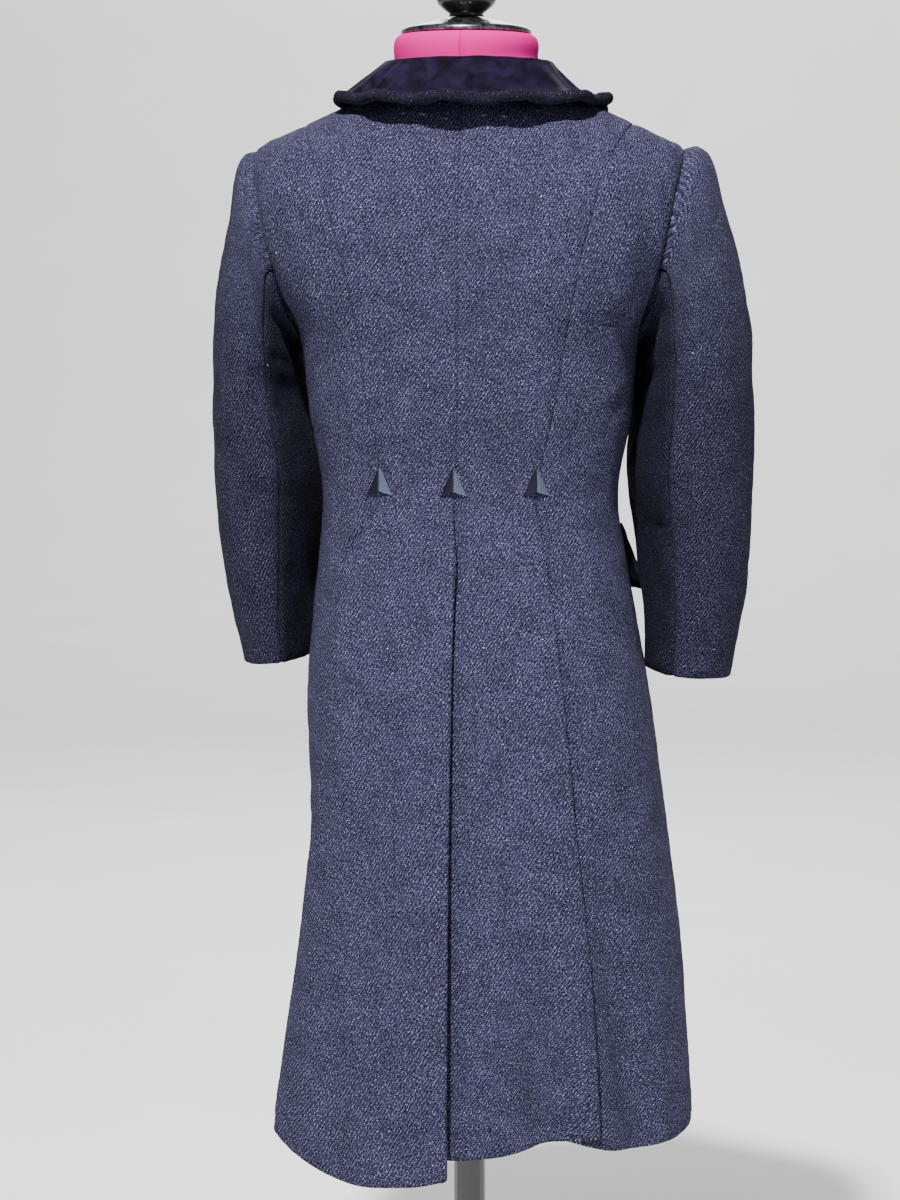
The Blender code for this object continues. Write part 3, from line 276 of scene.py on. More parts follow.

# Creases pressed in: a line in the picture's pixels, and its width and depth. They come again
# on the hidden side, moved by some pixels, where the cloth lies past a depth.
HIDDEN_SHIFT = (9, 14)
SEEN_FROM_Y = -8
Crease = namedtuple("Crease", "line width depth")
BODY_CREASES = (
    Crease(((593, 856), (615, 1015), (641, 1115)), 15, -3.5),
    Crease(((566, 960), (567, 1040), (566, 1130)), 11, -2.2),
    Crease(((377, 1041), (404, 1028), (430, 1010)), 6, -1.3),
    Crease(((331, 545), (322, 700), (316, 860)), 13, -2.4),
    Crease(((400, 560), (392, 740), (380, 900)), 20, 1.4),
    Crease(((500, 560), (512, 700), (520, 860)), 16, -1.2),
    Crease(((652, 212), (648, 262), (640, 325)), 9, -2.0),
    Crease(((276, 205), (285, 262), (300, 325)), 9, -1.8),
    Crease(((318, 430), (338, 446), (360, 452)), 6, -1.0),
    Crease(((606, 430), (588, 447), (566, 453)), 6, -1.0),
    Crease(((640, 380), (616, 410), (600, 418)), 7, -1.2),
)
LEFT_SLEEVE_CREASES = (
    Crease(((236, 322), (258, 352), (292, 368)), 7, -2.6),
    Crease(((250, 300), (272, 318), (296, 322)), 6, -1.4),
    Crease(((244, 400), (268, 412), (300, 408)), 9, -1.2),
    Crease(((238, 478), (262, 492), (298, 500)), 7, -1.8),
    Crease(((246, 560), (270, 574), (306, 580)), 9, -1.1),
)
RIGHT_SLEEVE_CREASES = (
    Crease(((648, 292), (668, 314), (700, 322)), 7, -2.4),
    Crease(((646, 344), (670, 356), (704, 352)), 7, -1.6),
    Crease(((640, 420), (668, 430), (700, 424)), 9, -1.2),
    Crease(((638, 520), (660, 528), (690, 520)), 7, -2.0),
    Crease(((646, 590), (672, 598), (700, 594)), 9, -1.0),
)


# Curves and steps


def smooth_step(value):
    """0 below 0, 1 above 1 and a smooth rise between."""
    value = np.clip(value, 0.0, 1.0)
    return value * value * (3.0 - 2.0 * value)


def between(first, last, share):
    """A value between two others."""
    return first + (last - first) * share


def signed(angle):
    """An angle carried over to -180 to 180 degrees."""
    return (angle + 180) % 360 - 180


def bell(distance, width):
    """A bump of height 1 whose sides fall away over the width."""
    return np.exp(-((distance / width) ** 2))


def spline(values, position):
    """A smooth curve through evenly spaced values, or through rows of values."""
    values = np.asarray(values, dtype=float)
    last = len(values) - 1
    position = np.clip(np.asarray(position, dtype=float), 0.0, last)
    start = np.minimum(position.astype(int), last - 1)
    part = position - start
    inner = start > 0
    outer = start + 2 <= last
    if values.ndim > 1:
        part = part[..., None]
        inner = inner[..., None]
        outer = outer[..., None]
    here = values[start]
    after = values[start + 1]
    before = np.where(inner, values[np.maximum(start - 1, 0)], 2 * here - after)
    beyond = np.where(outer, values[np.minimum(start + 2, last)], 2 * after - here)
    leave = (after - before) / 2
    arrive = (beyond - here) / 2
    square = part * part
    cube = square * part
    return (
        here * (2 * cube - 3 * square + 1)
        + leave * (cube - 2 * square + part)
        + after * (3 * square - 2 * cube)
        + arrive * (cube - square)
    )


def unit(vectors):
    """Vectors scaled to length 1."""
    length = np.linalg.norm(vectors, axis=-1, keepdims=True)
    return vectors / np.maximum(length, 1e-9)


def unevenness(points, size, seed):
    """A smooth uneven field of about -1 to 1 whose features have a given size."""
    total = np.zeros(points.shape[:-1])
    random = np.random.default_rng(seed)
    for _ in range(7):
        direction = random.normal(size=3)
        direction *= (0.6 + 0.8 * random.random()) * 2 * math.pi / size / np.linalg.norm(direction)
        total += np.sin(points @ direction + random.random() * 2 * math.pi)
    return total / 3.0


def uneven(points, layers):
    """Layers of unevenness added up."""
    return sum(height * unevenness(points, size, seed) for height, size, seed in layers)


# The coat's surface


def ring_point(rows, angle):
    """Points of rings: squared ellipses with their own back, front and sides."""
    turn = np.radians(angle)
    side, back = np.sin(turn), np.cos(turn)
    half_x = np.where(side >= 0, rows[..., LEFT], rows[..., RIGHT])
    half_y = np.where(back >= 0, rows[..., BACK], rows[..., FRONT])
    power = rows[..., SQUARE]
    reach = ((np.abs(side) / half_x) ** power + (np.abs(back) / half_y) ** power) ** (-1 / power)
    end_z = np.where(back >= 0, rows[..., BACK_Z], rows[..., FRONT_Z])
    height = end_z + (rows[..., SIDE_Z] - end_z) * side * side
    return np.stack((reach * side, reach * back, height), axis=-1)


def fold_depth(height, angle):
    """How far the skirt's soft folds move the cloth out."""
    total = np.zeros(np.broadcast(height, angle).shape)
    for fold in FOLDS:
        along = np.maximum((fold.top_z - height) / (fold.top_z - HEM_Z), 0.0)
        centre = between(fold.top_angle, fold.hem_angle, along)
        total += fold.depth * smooth_step(along) * bell(signed(angle - centre), fold.width)
    return total


def coat_point(position, angle):
    """Points of the coat's outer surface, with its soft folds."""
    rows = spline(TORSO, position)
    point = ring_point(rows, angle)
    depth = fold_depth(rows[..., SIDE_Z], angle)
    outward = unit(point * (1, 1, 0))
    return point + outward * depth[..., None]


def coat_normal(position, angle):
    """The outward direction of the coat's surface."""
    low = np.minimum(position + 0.05, HEM)
    high = np.maximum(position - 0.05, 0.0)
    down = coat_point(low, angle) - coat_point(high, angle)
    around = coat_point(position, angle + 0.5) - coat_point(position, angle - 0.5)
    normal = unit(np.cross(around, down))
    point = coat_point(position, angle)
    point[..., 2] = 20.0
    facing = np.sum(normal * point, axis=-1, keepdims=True)
    return normal * np.where(facing < 0, -1.0, 1.0)


def angle_at(position, distance, front=False):
    """The angle where the coat's surface lies at a signed distance from the centre plane."""
    position, distance = np.broadcast_arrays(np.asarray(position, float), np.asarray(distance, float))
    rows = spline(TORSO, position)
    sign = np.where(distance >= 0, 1.0, -1.0)
    low, high = np.zeros(position.shape), np.full(position.shape, 90.0)
    for _ in range(40):
        middle = (low + high) / 2
        turn = 180 - middle if front else middle
        inside = np.abs(ring_point(rows, sign * turn)[..., 0]) < np.abs(distance)
        low = np.where(inside, middle, low)
        high = np.where(inside, high, middle)
    return sign * (180 - low if front else low)


DENSE = np.linspace(UNDERARM, HEM, 2001)
DENSE_Z = spline(TORSO, DENSE)[:, SIDE_Z]


def position_at_height(height):
    """The positions below the underarm whose rings lie at given heights."""
    return np.interp(-np.asarray(height, float), -DENSE_Z, DENSE)


def centre_x(position):
    """How far the centre back seam lies towards the wearer's left."""
    return spline(CENTRE_LINE, position)


def princess_x(side, position):
    """The back princess seam's signed distance from the centre plane."""
    return side * spline(PRINCESS["back_" + SIDE_NAMES[side]], position - PRINCESS_TOP)


def princess_angle(position, side, front):
    """The angle of a princess seam."""
    if front:
        distance = side * spline(PRINCESS["front"], position - PRINCESS_TOP)
    else:
        distance = princess_x(side, position)
    return np.where(position <= PRINCESS_TOP + 1e-6, side * 90.0, angle_at(position, distance, front))


def armhole_angle(step, side, front):
    """The angle of the armhole's edge, from the shoulder point (0) to the underarm (1)."""
    bulge = ARMHOLE_BULGE * np.sqrt(np.maximum(np.sin(np.pi * step), 0.0))
    return side * (90 + bulge if front else 90 - bulge)


def pleat_open(position, pleat):
    """Lap, lift and reach under of a pleat, and how far it sinks; all 0 at the waist."""
    drop = np.maximum(WAIST_Z - spline(TORSO, position)[..., SIDE_Z], 0.0)
    length = WAIST_Z - HEM_Z
    lap = pleat.lap * smooth_step((drop - 14) / 40)
    lift = pleat.lift_top * smooth_step((drop - 8) / 26)
    lift = lift + (pleat.lift_hem - pleat.lift_top) * smooth_step((drop - 20) / (length - 20))
    under = pleat.under * smooth_step((drop - 6) / 70)
    sink = pleat.sink * smooth_step(drop / 15)
    return lap, lift, under, sink, drop


# Creases


def picture(points, front=False):
    """Where points lie in the photograph's frame, or in one seen the same way from the front."""
    if front:
        points = points * (-1, -1, 1)
    heading, pitch = math.radians(HEADING), math.radians(PITCH)
    right = np.array((math.cos(heading), math.sin(heading), 0.0))
    level = np.array((-math.sin(heading), math.cos(heading), 0.0))
    ahead = level * math.cos(pitch) + np.array((0, 0, -math.sin(pitch)))
    up = np.cross(right, ahead)
    away = points - EYE
    depth = away @ ahead
    across = PHOTO_WIDTH / 2 + FOCAL * (away @ right) / depth
    down = PHOTO_HEIGHT / 2 - FOCAL * (away @ up) / depth
    return np.stack((across, down), axis=-1)


def crease_depth(points, creases):
    """How far a list of creases moves points out, both on the seen side and on the hidden one."""
    total = np.zeros(points.shape[:-1])
    for hidden in (False, True):
        pixels = picture(points, hidden)
        facing = points[..., 1] < SEEN_FROM_Y if hidden else points[..., 1] > SEEN_FROM_Y
        for crease in creases:
            line = np.array(crease.line, float)
            if hidden:
                line = line + HIDDEN_SHIFT
            best = np.full(points.shape[:-1], 1e9)
            along = np.zeros(points.shape[:-1])
            spans = len(line) - 1
            for index in range(spans):
                begin, finish = line[index], line[index + 1]
                run = finish - begin
                share = np.clip((pixels - begin) @ run / (run @ run), 0.0, 1.0)
                gap = np.linalg.norm(pixels - begin - share[..., None] * run, axis=-1)
                nearer = gap < best
                best = np.where(nearer, gap, best)
                along = np.where(nearer, (index + share) / spans, along)
            fade = np.sin(np.pi * np.clip(along, 0.04, 0.96)) ** 0.6
            shape = bell(best, crease.width) - 0.35 * bell(best - 1.9 * crease.width, crease.width)
            total += np.where(facing, crease.depth * fade * shape, 0.0)
    return total


# Meshes


def mesh_object(name, vertices, faces, material, uvs=None):
    """A mesh from points in millimetres, with its cloth coordinates in metres as UVs."""
    mesh = bpy.data.meshes.new(name)
    mesh.from_pydata((np.asarray(vertices) * MM).tolist(), [], faces)
    if uvs is not None:
        layer = mesh.uv_layers.new(name="UVMap")
        corners = np.empty(len(mesh.loops), dtype=np.int32)
        mesh.loops.foreach_get("vertex_index", corners)
        layer.data.foreach_set("uv", (np.asarray(uvs)[corners] * MM).ravel())
    mesh.materials.append(material)
    mesh.shade_smooth()
    piece = bpy.data.objects.new(name, mesh)
    bpy.context.scene.collection.objects.link(piece)
    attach(piece, "root")
    return piece


def arc_lengths(grid):
    """Distance across each row and down each column of a grid of points."""
    across = np.linalg.norm(np.diff(grid, axis=1), axis=-1)
    down = np.linalg.norm(np.diff(grid, axis=0), axis=-1)
    across = np.concatenate((np.zeros((len(grid), 1)), np.cumsum(across, axis=1)), axis=1)
    down = np.concatenate((np.zeros((1, grid.shape[1])), np.cumsum(down, axis=0)), axis=0)
    return across, down


def grid_normal(grid):
    """Directions square to a grid of points."""
    across = np.gradient(grid, axis=1)
    down = np.gradient(grid, axis=0)
    return unit(np.cross(across, down))


def ring_faces(count, sides, first=0, flipped=False):
    """Faces between rings of points that lie one after another."""
    faces = []
    for index in range(count - 1):
        for side in range(sides):
            a = first + index * sides + side
            b = first + index * sides + (side + 1) % sides
            faces.append((a, a + sides, b + sides, b) if flipped else (a, b, b + sides, a + sides))
    return faces


def tube_faces(count, sides, first=0, flipped=False):
    """Faces round a tube of rings, with a cap at each end."""
    start = range(first, first + sides)
    end = range(first + (count - 1) * sides, first + count * sides)
    caps = (start, reversed(end)) if flipped else (reversed(start), end)
    return ring_faces(count, sides, first, flipped) + [tuple(cap) for cap in caps]


def rounded(points, opposite, outward, count=3):
    """Points round a wall's edge, from its outer to its inner face."""
    middle, half = (points + opposite) / 2, (points - opposite) / 2
    radius = np.linalg.norm(half, axis=-1, keepdims=True)
    ring = []
    for index in range(1, count + 1):
        turn = math.pi * index / (count + 1)
        ring.append(middle + half * math.cos(turn) + outward * radius * math.sin(turn))
    return ring


def shell(name, outer, inner, material, flat=None):
    """A closed wall from an outer and an inner grid, with every edge rounded."""
    if flat is None:
        across, down = arc_lengths(outer)
        flat = np.stack((across - across[:, -1:] / 2, -down), axis=-1)
    first = unit(outer[:, 0] - outer[:, 1])
    last = unit(outer[:, -1] - outer[:, -2])
    end_rim = rounded(outer[:, -1], inner[:, -1], last)
    start_rim = rounded(inner[:, 0], outer[:, 0], first)
    columns = [outer[:, i] for i in range(outer.shape[1])] + end_rim
    columns += [inner[:, i] for i in reversed(range(inner.shape[1]))] + start_rim
    grow = np.where(flat[:, -1:, 0] > flat[:, :1, 0], 1.3, -1.3) * (1, 0)
    flats = [flat[:, i] for i in range(outer.shape[1])]
    flats += [flat[:, -1] + grow * k for k in (1, 2, 3)]
    flats += [flat[:, i] for i in reversed(range(outer.shape[1]))]
    flats += [flat[:, 0] - grow * k for k in (3, 2, 1)]
    loops = np.stack(columns, axis=1)
    uvs = np.stack(flats, axis=1)
    rows, around = loops.shape[:2]
    count = outer.shape[1]
    mirror = list(range(around))
    for index in range(count):
        mirror[index] = 2 * count + 2 - index
        mirror[2 * count + 2 - index] = index
    for index in range(3):
        mirror[count + index] = count + 2 - index
        mirror[2 * count + 3 + index] = 2 * count + 5 - index
    caps = []
    for row, beside in ((0, 1), (rows - 1, rows - 2)):
        middle = (loops[row] + loops[row][mirror]) / 2
        half = loops[row] - middle
        radius = np.linalg.norm(half, axis=-1, keepdims=True)
        outward = unit(loops[row] - loops[beside])
        caps.append(middle + half * 0.62 + outward * radius * 0.75)
    loops = np.concatenate((caps[0][None], loops, caps[1][None]))
    uvs = np.concatenate((uvs[:1], uvs, uvs[-1:]))
    rows += 2
    faces = ring_faces(rows, around)
    for row in (0, rows - 1):
        base = row * around
        for index in range(count - 1):
            quad = (base + index, base + index + 1, base + mirror[index + 1], base + mirror[index])
            faces.append(quad if row else tuple(reversed(quad)))
        end = tuple(base + count - 1 + index for index in range(5))
        start = tuple(base + (2 * count + 2 + index) % around for index in range(5))
        faces.append(end if row else tuple(reversed(end)))
        faces.append(start if row else tuple(reversed(start)))
    return mesh_object(name, loops.reshape(-1, 3), faces, material, uvs.reshape(-1, 2))


def tube(name, centres, ups, radii, sides, material, bore):
    """A tube of cloth round a line of centres, with a radius at each and an empty bore."""
    centres, ups = np.asarray(centres, float), np.asarray(ups, float)
    tangent = unit(np.gradient(centres, axis=0))
    across = unit(np.cross(tangent, ups))
    up = np.cross(across, tangent)
    turns = 2 * np.pi * (np.arange(sides) + 0.5) / sides
    circle = across[:, None] * np.cos(turns)[None, :, None] + up[:, None] * np.sin(turns)[None, :, None]
    radii = np.asarray(radii, float)
    if radii.ndim == 1:
        radii = radii[:, None]
    outside = centres[:, None] + circle * radii[..., None]
    inside = (centres[:, None] + circle * bore)[2:-2]
    along = np.concatenate(((0.0,), np.cumsum(np.linalg.norm(np.diff(centres, axis=0), axis=-1))))
    around = np.arange(sides) / sides * 2 * np.pi * np.mean(radii)
    uvs = np.stack(np.broadcast_arrays(along[:, None], around[None, :]), axis=-1)
    faces = tube_faces(len(outside), sides)
    faces += [tuple(reversed(face)) for face in tube_faces(len(inside), sides, len(outside) * sides)]
    vertices = np.concatenate((outside.reshape(-1, 3), inside.reshape(-1, 3)))
    flats = np.concatenate((uvs.reshape(-1, 2), uvs[2:-2].reshape(-1, 2)))
    return mesh_object(name, vertices, faces, material, flats)


def turned(name, profile, steps, material, centre=(0.0, 0.0), relief=None):
    """A profile of radii and heights spun round a vertical axis."""
    profile = np.asarray(profile, float)
    turns = 2 * np.pi * np.arange(steps) / steps
    radius = np.repeat(profile[:, :1], steps, axis=1)
    height = np.repeat(profile[:, 1:2], steps, axis=1)
    if relief is not None:
        height = height + relief(radius, turns[None, :])
    x = centre[0] + radius * np.cos(turns)
    y = centre[1] + radius * np.sin(turns)
    points = np.stack((x, y, height), axis=-1)
    faces = tube_faces(len(profile), steps, flipped=True)
    return mesh_object(name, points.reshape(-1, 3), faces, material)


# Materials


def new_material(name):
    """A node material, a function that sets its shader, and one that adds a node and gives an output."""
    material = bpy.data.materials.new(name)
    material.use_nodes = True
    tree = material.node_tree

    def feed(node, values):
        for key, value in values.items():
            if isinstance(value, bpy.types.NodeSocket):
                tree.links.new(value, node.inputs[key])
            else:
                node.inputs[key].default_value = value

    def shade(values):
        feed(tree.nodes["Principled BSDF"], values)

    def add(kind, values=None, output=0, **settings):
        node = tree.nodes.new("ShaderNode" + kind)
        for key, value in settings.items():
            setattr(node, key, value)
        feed(node, values or {})
        return node.outputs[output]

    return material, shade, add


def ramp(add, factor, stops):
    """A colour ramp along a factor, with the given places and colours."""
    colour = add("ValToRGB", {"Fac": factor})
    elements = colour.node.color_ramp.elements
    elements[0].position, elements[0].color = stops[0][0], (*stops[0][1], 1)
    elements[1].position, elements[1].color = stops[-1][0], (*stops[-1][1], 1)
    for place, stop in stops[1:-1]:
        elements.new(place).color = (*stop, 1)
    return colour


def flat_place(add, turn=0.0):
    """The cloth's own flat coordinates in millimetres, turned by some degrees."""
    values = {"Vector": add("TexCoord", output="UV"), "Rotation": (0, 0, math.radians(turn))}
    return add("Mapping", {**values, "Scale": (1000, 1000, 1000)})


def noise(add, place, scale, detail, roughness=0.5, distortion=0.0):
    """A noise texture's value."""
    values = {"Scale": scale, "Detail": detail, "Roughness": roughness, "Distortion": distortion}
    return add("TexNoise", {"Vector": place, **values}, "Fac")


def wave(add, place, scale, distortion, detail, detail_scale=1.0, direction="X"):
    """A wave texture's value."""
    values = {"Scale": scale, "Distortion": distortion, "Detail": detail, "Detail Scale": detail_scale}
    return add("TexWave", {"Vector": place, **values}, "Fac", bands_direction=direction)


def spread(add, value, low, high, to_low, to_high):
    """A value between two limits, carried over to two others."""
    values = {"From Min": low, "From Max": high, "To Min": to_low, "To Max": to_high}
    return add("MapRange", {"Value": value, **values})


def blend(add, share, first, second):
    """Two values mixed by the share of the second."""
    return add("Mix", {0: share, 2: first, 3: second}, data_type="FLOAT")


def bump(add, height, strength, distance):
    """A normal raised by a height."""
    return add("Bump", {"Height": height, "Strength": strength, "Distance": distance})


def wool_material(name, depth, top_depth):
    """Napped boucle wool in a steep twill: dark ground, slate loops, pale flecks and lint.

    The depth scales its colour low on a sleeve, and the top depth scales it higher up; below the body's own,
    these scales are painted shade.
    """
    material, shade, add = new_material(name)
    turn = flat_place(add, 32)
    stretch = add("Mapping", {"Vector": turn, "Scale": (1.0, 0.55, 1.0)})
    loops = noise(add, stretch, 1.15, 2.0, 0.65, 0.7)
    knots = noise(add, turn, 1.4, 1.0, 0.7, 0.3)
    ribs = spread(add, wave(add, turn, 0.137, 3.5, 2.0, 2.0), 0.0, 1.0, 0.40, 0.60)
    relief = blend(add, 0.24, blend(add, 0.45, loops, knots), ribs)
    colour = ramp(add, relief, (
        (0.41, (0.002, 0.002, 0.006)),
        (0.47, (0.010, 0.010, 0.025)),
        (0.52, (0.028, 0.027, 0.060)),
        (0.58, (0.095, 0.093, 0.165)),
        (0.65, (0.34, 0.34, 0.48)),
    ))
    patches = spread(add, noise(add, turn, 0.045, 2.0), 0.3, 0.7, 0.84, 1.14)
    # Painted shade: the colour is scaled from the depth low on the cloth to the top depth higher up, darker
    # towards a sleeve's cuff
    up = add("SeparateXYZ", {"Vector": add("TexCoord", output="UV")}, "Y")
    nap_and_shade = spread(add, up, *SLEEVE_SHADE_HEIGHTS, depth, top_depth)
    amount = add("Math", {0: patches, 1: nap_and_shade}, operation="MULTIPLY")
    tone = add("VectorMath", {0: colour, "Scale": amount}, operation="SCALE")
    specks = add("TexVoronoi", {"Vector": turn, "Scale": 0.042, "Randomness": 1.0}, "Distance", feature="F1")
    lint = {0: spread(add, specks, 0.010, 0.022, 1.0, 0.0), 6: tone, 7: (0.72, 0.74, 0.80, 1)}
    shade({
        "Base Color": add("Mix", lint, 2, data_type="RGBA"),
        "Normal": bump(add, relief, 0.9, 0.0012),
        "Roughness": 0.95,
        "Specular IOR Level": 0.06,
    })
    return material


def velvet_material():
    """Dark aubergine-navy velvet: a near-black pile that catches light at grazing angles."""
    material, shade, add = new_material("velvet_pile")
    place = flat_place(add)
    # In the velvet this holds only the pile's own uneven tone
    nap_and_shade = noise(add, place, 0.06, 3.0, 0.6, 0.5)
    shade({
        "Base Color": ramp(add, nap_and_shade, ((0.34, (0.001, 0.001, 0.003)), (0.66, (0.009, 0.005, 0.020)))),
        "Normal": bump(add, noise(add, place, 2.2, 2.0, 0.7), 0.35, 0.0004),
        "Roughness": 0.75,
        "Specular IOR Level": 0.05,
        "Sheen Weight": 0.035,
        "Sheen Roughness": 0.3,
        "Sheen Tint": (0.22, 0.16, 0.46, 1),
    })
    return material


def jersey_material():
    """Fine magenta jersey with vertical wales."""
    material, shade, add = new_material("form_jersey_knit")
    place = flat_place(add)
    knit = blend(add, 0.5, wave(add, place, 0.42, 0.6, 2.0), noise(add, place, 1.4, 2.0, 0.6))
    shade({
        "Base Color": ramp(add, knit, ((0.25, (0.42, 0.0, 0.135)), (0.75, (0.60, 0.001, 0.215)))),
        "Normal": bump(add, knit, 0.4, 0.0004),
        "Roughness": 0.85,
        "Specular IOR Level": 0.1,
    })
    return material


def hard_material(name, dark, light, roughness, metallic, grain):
    """Metal, lacquer or plastic with fine uneven wear in its colour, gloss and surface."""
    material, shade, add = new_material(name)
    spots = noise(add, add("TexCoord", output="Object"), grain, 5.0, 0.65)
    shade({
        "Base Color": ramp(add, spots, ((0.35, dark), (0.68, light))),
        "Normal": bump(add, spots, 0.15, 0.0003),
        "Roughness": spread(add, spots, 0.3, 0.7, roughness * 0.75, roughness * 1.3),
        "Metallic": metallic,
    })
    return material


def thread_material(name, dark, light):
    """Embroidery thread with the twist of its strands."""
    material, shade, add = new_material(name)
    twist = wave(add, flat_place(add), 0.5, 1.0, 1.0, direction="DIAGONAL")
    shade({
        "Base Color": ramp(add, twist, ((0.2, dark), (0.8, light))),
        "Normal": bump(add, twist, 0.4, 0.0002),
        "Roughness": 0.5,
        "Specular IOR Level": 0.12,
    })
    return material


WOOL = wool_material("wool_boucle", 0.9, 0.9)
# The sleeves' wool is the body's cloth darkened: painted shade, deeper low on a sleeve and deepest on the
# under sleeve, which lies in shade
SHADED_SLEEVE_WOOL = wool_material("wool_sleeve_painted_shade", 0.46, 0.9)
SHADED_UNDER_WOOL = wool_material("wool_under_sleeve_painted_shade", 0.26, 0.6)
# The welts' wool is the body's cloth at a fraction of its colour: painted shade on a rolled edge
SHADED_WELT_WOOL = wool_material("wool_welt_painted_shade", 0.25, 0.25)
VELVET = velvet_material()
JERSEY = jersey_material()
THREAD = thread_material("navy_thread", (0.001, 0.0015, 0.005), (0.009, 0.011, 0.024))
# The same thread made lighter: a painted sheen for the arrowhead half that faces the light
SHEEN_PAINTED_THREAD = thread_material("thread_painted_sheen", (0.010, 0.013, 0.026), (0.110, 0.135, 0.205))
DARK_METAL = hard_material("cap_metal", (0.020, 0.020, 0.022), (0.16, 0.16, 0.17), 0.28, 0.9, 180)
LACQUER = hard_material("stand_lacquer", (0.006, 0.006, 0.007), (0.016, 0.016, 0.018), 0.22, 0.0, 60)
BUTTON = hard_material("button_dark", (0.006, 0.006, 0.012), (0.022, 0.022, 0.036), 0.35, 0.0, 220)


# The pieces of the body

EDGE_FRACTIONS = (0.0, 0.012, 0.03, 0.055, 0.085)
FRACTIONS = np.array(EDGE_FRACTIONS + tuple(np.linspace(0.12, 0.88, 24)) + tuple(
    1 - share for share in reversed(EDGE_FRACTIONS)))
BODICE_T = np.linspace(0, 12, 49)[:-1]
LOWER_Z = np.linspace(TORSO[UNDERARM, SIDE_Z], HEM_Z, 132)
LOWER = position_at_height(LOWER_Z)
LOWER[-1] = HEM
SEAM_STEPS = NECK_STEPS + tuple(between(PRINCESS_TOP, UNDERARM, ARMHOLE_STEPS ** 1.5))


def rows_through(steps):
    """Fine positions through a list of bodice steps and down the skirt."""
    return np.concatenate((np.interp(BODICE_T, np.arange(13), steps), LOWER))


def over_lift(pleat, sign, seam, position, x):
    """Lift and wall of a pleat's upper edge."""
    _, height, _, _, drop = pleat_open(position, pleat)
    away = sign * (x - seam)
    share = 1 - smooth_step((away - 4) / 42)
    fold = smooth_step(drop / 30) * (1 - smooth_step((away + 3) / 6))
    return height * share, (FOLD_EDGE_WALL - WALL) * fold


def sunk_share(away):
    """How much of its full sink a panel has, by distance past the edge that laps over it."""
    return 1 - smooth_step((away - SUNK_EDGE) / (RISEN_EDGE - SUNK_EDGE))


def under_lift(pleat, sign, seam, position, x):
    """How far a panel sinks as it runs under a pleat's upper edge."""
    return -pleat_open(position, pleat)[3] * sunk_share(sign * (x - seam))


def seam_line(distance):
    """The pressed groove and the swelling beside a seam, by distance from it."""
    return -0.55 * bell(distance, 1.6) + 0.45 * bell(distance - 6.5, 4.5)


RING_COUNT = 240
RING_ANGLES = np.linspace(0, 180, 181)
RING_POSITIONS = np.linspace(0, HEM, RING_COUNT + 1)
RING_GRID = ring_point(spline(TORSO, RING_POSITIONS)[:, None, :], RING_ANGLES[None, :])
RING_ACROSS, RING_DOWN = arc_lengths(RING_GRID)
MERIDIAN_ANGLE = 30
MERIDIAN = RING_DOWN[:, MERIDIAN_ANGLE]


def cloth_flat(position, angle):
    """Flat coordinates of the body's cloth: round from the centre back, and down a meridian."""
    row = np.clip(position / HEM * RING_COUNT, 0, RING_COUNT - 0.001)
    column = np.clip(180 - np.abs(180 - np.abs(angle)), 0, 179.999)
    low_row, low_column = row.astype(int), column.astype(int)
    row_share, column_share = row - low_row, column - low_column
    upper, lower = (
        between(RING_ACROSS[index, low_column], RING_ACROSS[index, low_column + 1], column_share)
        for index in (low_row, low_row + 1)
    )
    around = between(upper, lower, row_share)
    half_round = np.interp(position, RING_POSITIONS, RING_ACROSS[:, -1])
    around = np.where(np.abs(angle) > 180, 2 * half_round - around, around)
    return np.stack((-np.sign(angle) * around, -np.interp(position, RING_POSITIONS, MERIDIAN)), axis=-1)


def body_panel(name, start, end, lift, creases, seams):
    """A panel between two edges of positions and angles, as a shell with creases and seams."""
    start_position, start_angle = (values[:, None] for values in start)
    end_position, end_angle = (values[:, None] for values in end)
    edges = coat_point(start[0], start[1]), coat_point(end[0], end[1])
    length = np.maximum(np.linalg.norm(edges[1] - edges[0], axis=-1), NARROWEST)[:, None]
    inset = (WALL / 2 - SEAM_OVERLAP) / length
    closing = SHOULDER_OVERLAP * (1 - smooth_step((end_position - CLOSED_TO) / CLOSING_RUN)) / length
    near = inset if name.startswith("back") else inset - closing
    far = -inset if name.startswith("front") else closing - inset
    armhole = seams["end"] == "seam" and name.startswith("side")
    far = np.where(armhole & (end_position < UNDERARM), ARMHOLE_OVERLAP / length, far)
    shares = near + (1 - near + far) * FRACTIONS[None, :]
    position = between(start_position, end_position, shares)
    angle = between(start_angle, end_angle, shares)
    base = coat_point(position, angle)
    normal = coat_normal(position, angle)
    out, thick = lift(position, base[..., 0])
    hem_start, hem_end, bow = HEMS[name]
    if name.startswith("front"):
        hem_start, hem_end = hem_end, hem_start
    hem = between(hem_start, hem_end, shares) + bow * np.sin(np.pi * shares)
    height = spline(TORSO, position)[..., SIDE_Z]
    fall = smooth_step((HEM_FALL_Z - height) / (HEM_FALL_Z - HEM_Z))
    middle = base + normal * out[..., None]
    middle[..., 2] += (hem - HEM_Z) * fall
    below_waist = smooth_step((WAIST_Z - 10 - height) / 12)
    relief = crease_depth(middle, creases) + uneven(middle, BODY_UNEVEN)
    surface = np.zeros(middle.shape[:-1])
    for edge, where in (("start", shares * length), ("end", (1 - shares) * length)):
        kind = seams[edge]
        if kind == "seam":
            surface += seam_line(where)
        elif kind == "pleat":
            surface += seam_line(where) * (1 - below_waist)
    surface += uneven(middle, BODY_FINE)
    edge_fade = smooth_step(shares * length / EDGE_CALM) * smooth_step((1 - shares) * length / EDGE_CALM)
    middle = middle + normal * (relief * edge_fade)[..., None]
    wall = WALL + thick + HEM_WALL * smooth_step((HEM_Z + HEM_TURN - height) / 5)
    outer = middle + normal * surface[..., None]
    inner = middle - normal * wall[..., None]
    piece = shell("coat_" + name, outer, inner, WOOL, cloth_flat(position, angle))
    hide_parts(name)


def nothing(position, x):
    """A panel with no pleat stays on the coat's surface."""
    return np.zeros(position.shape), np.zeros(position.shape)


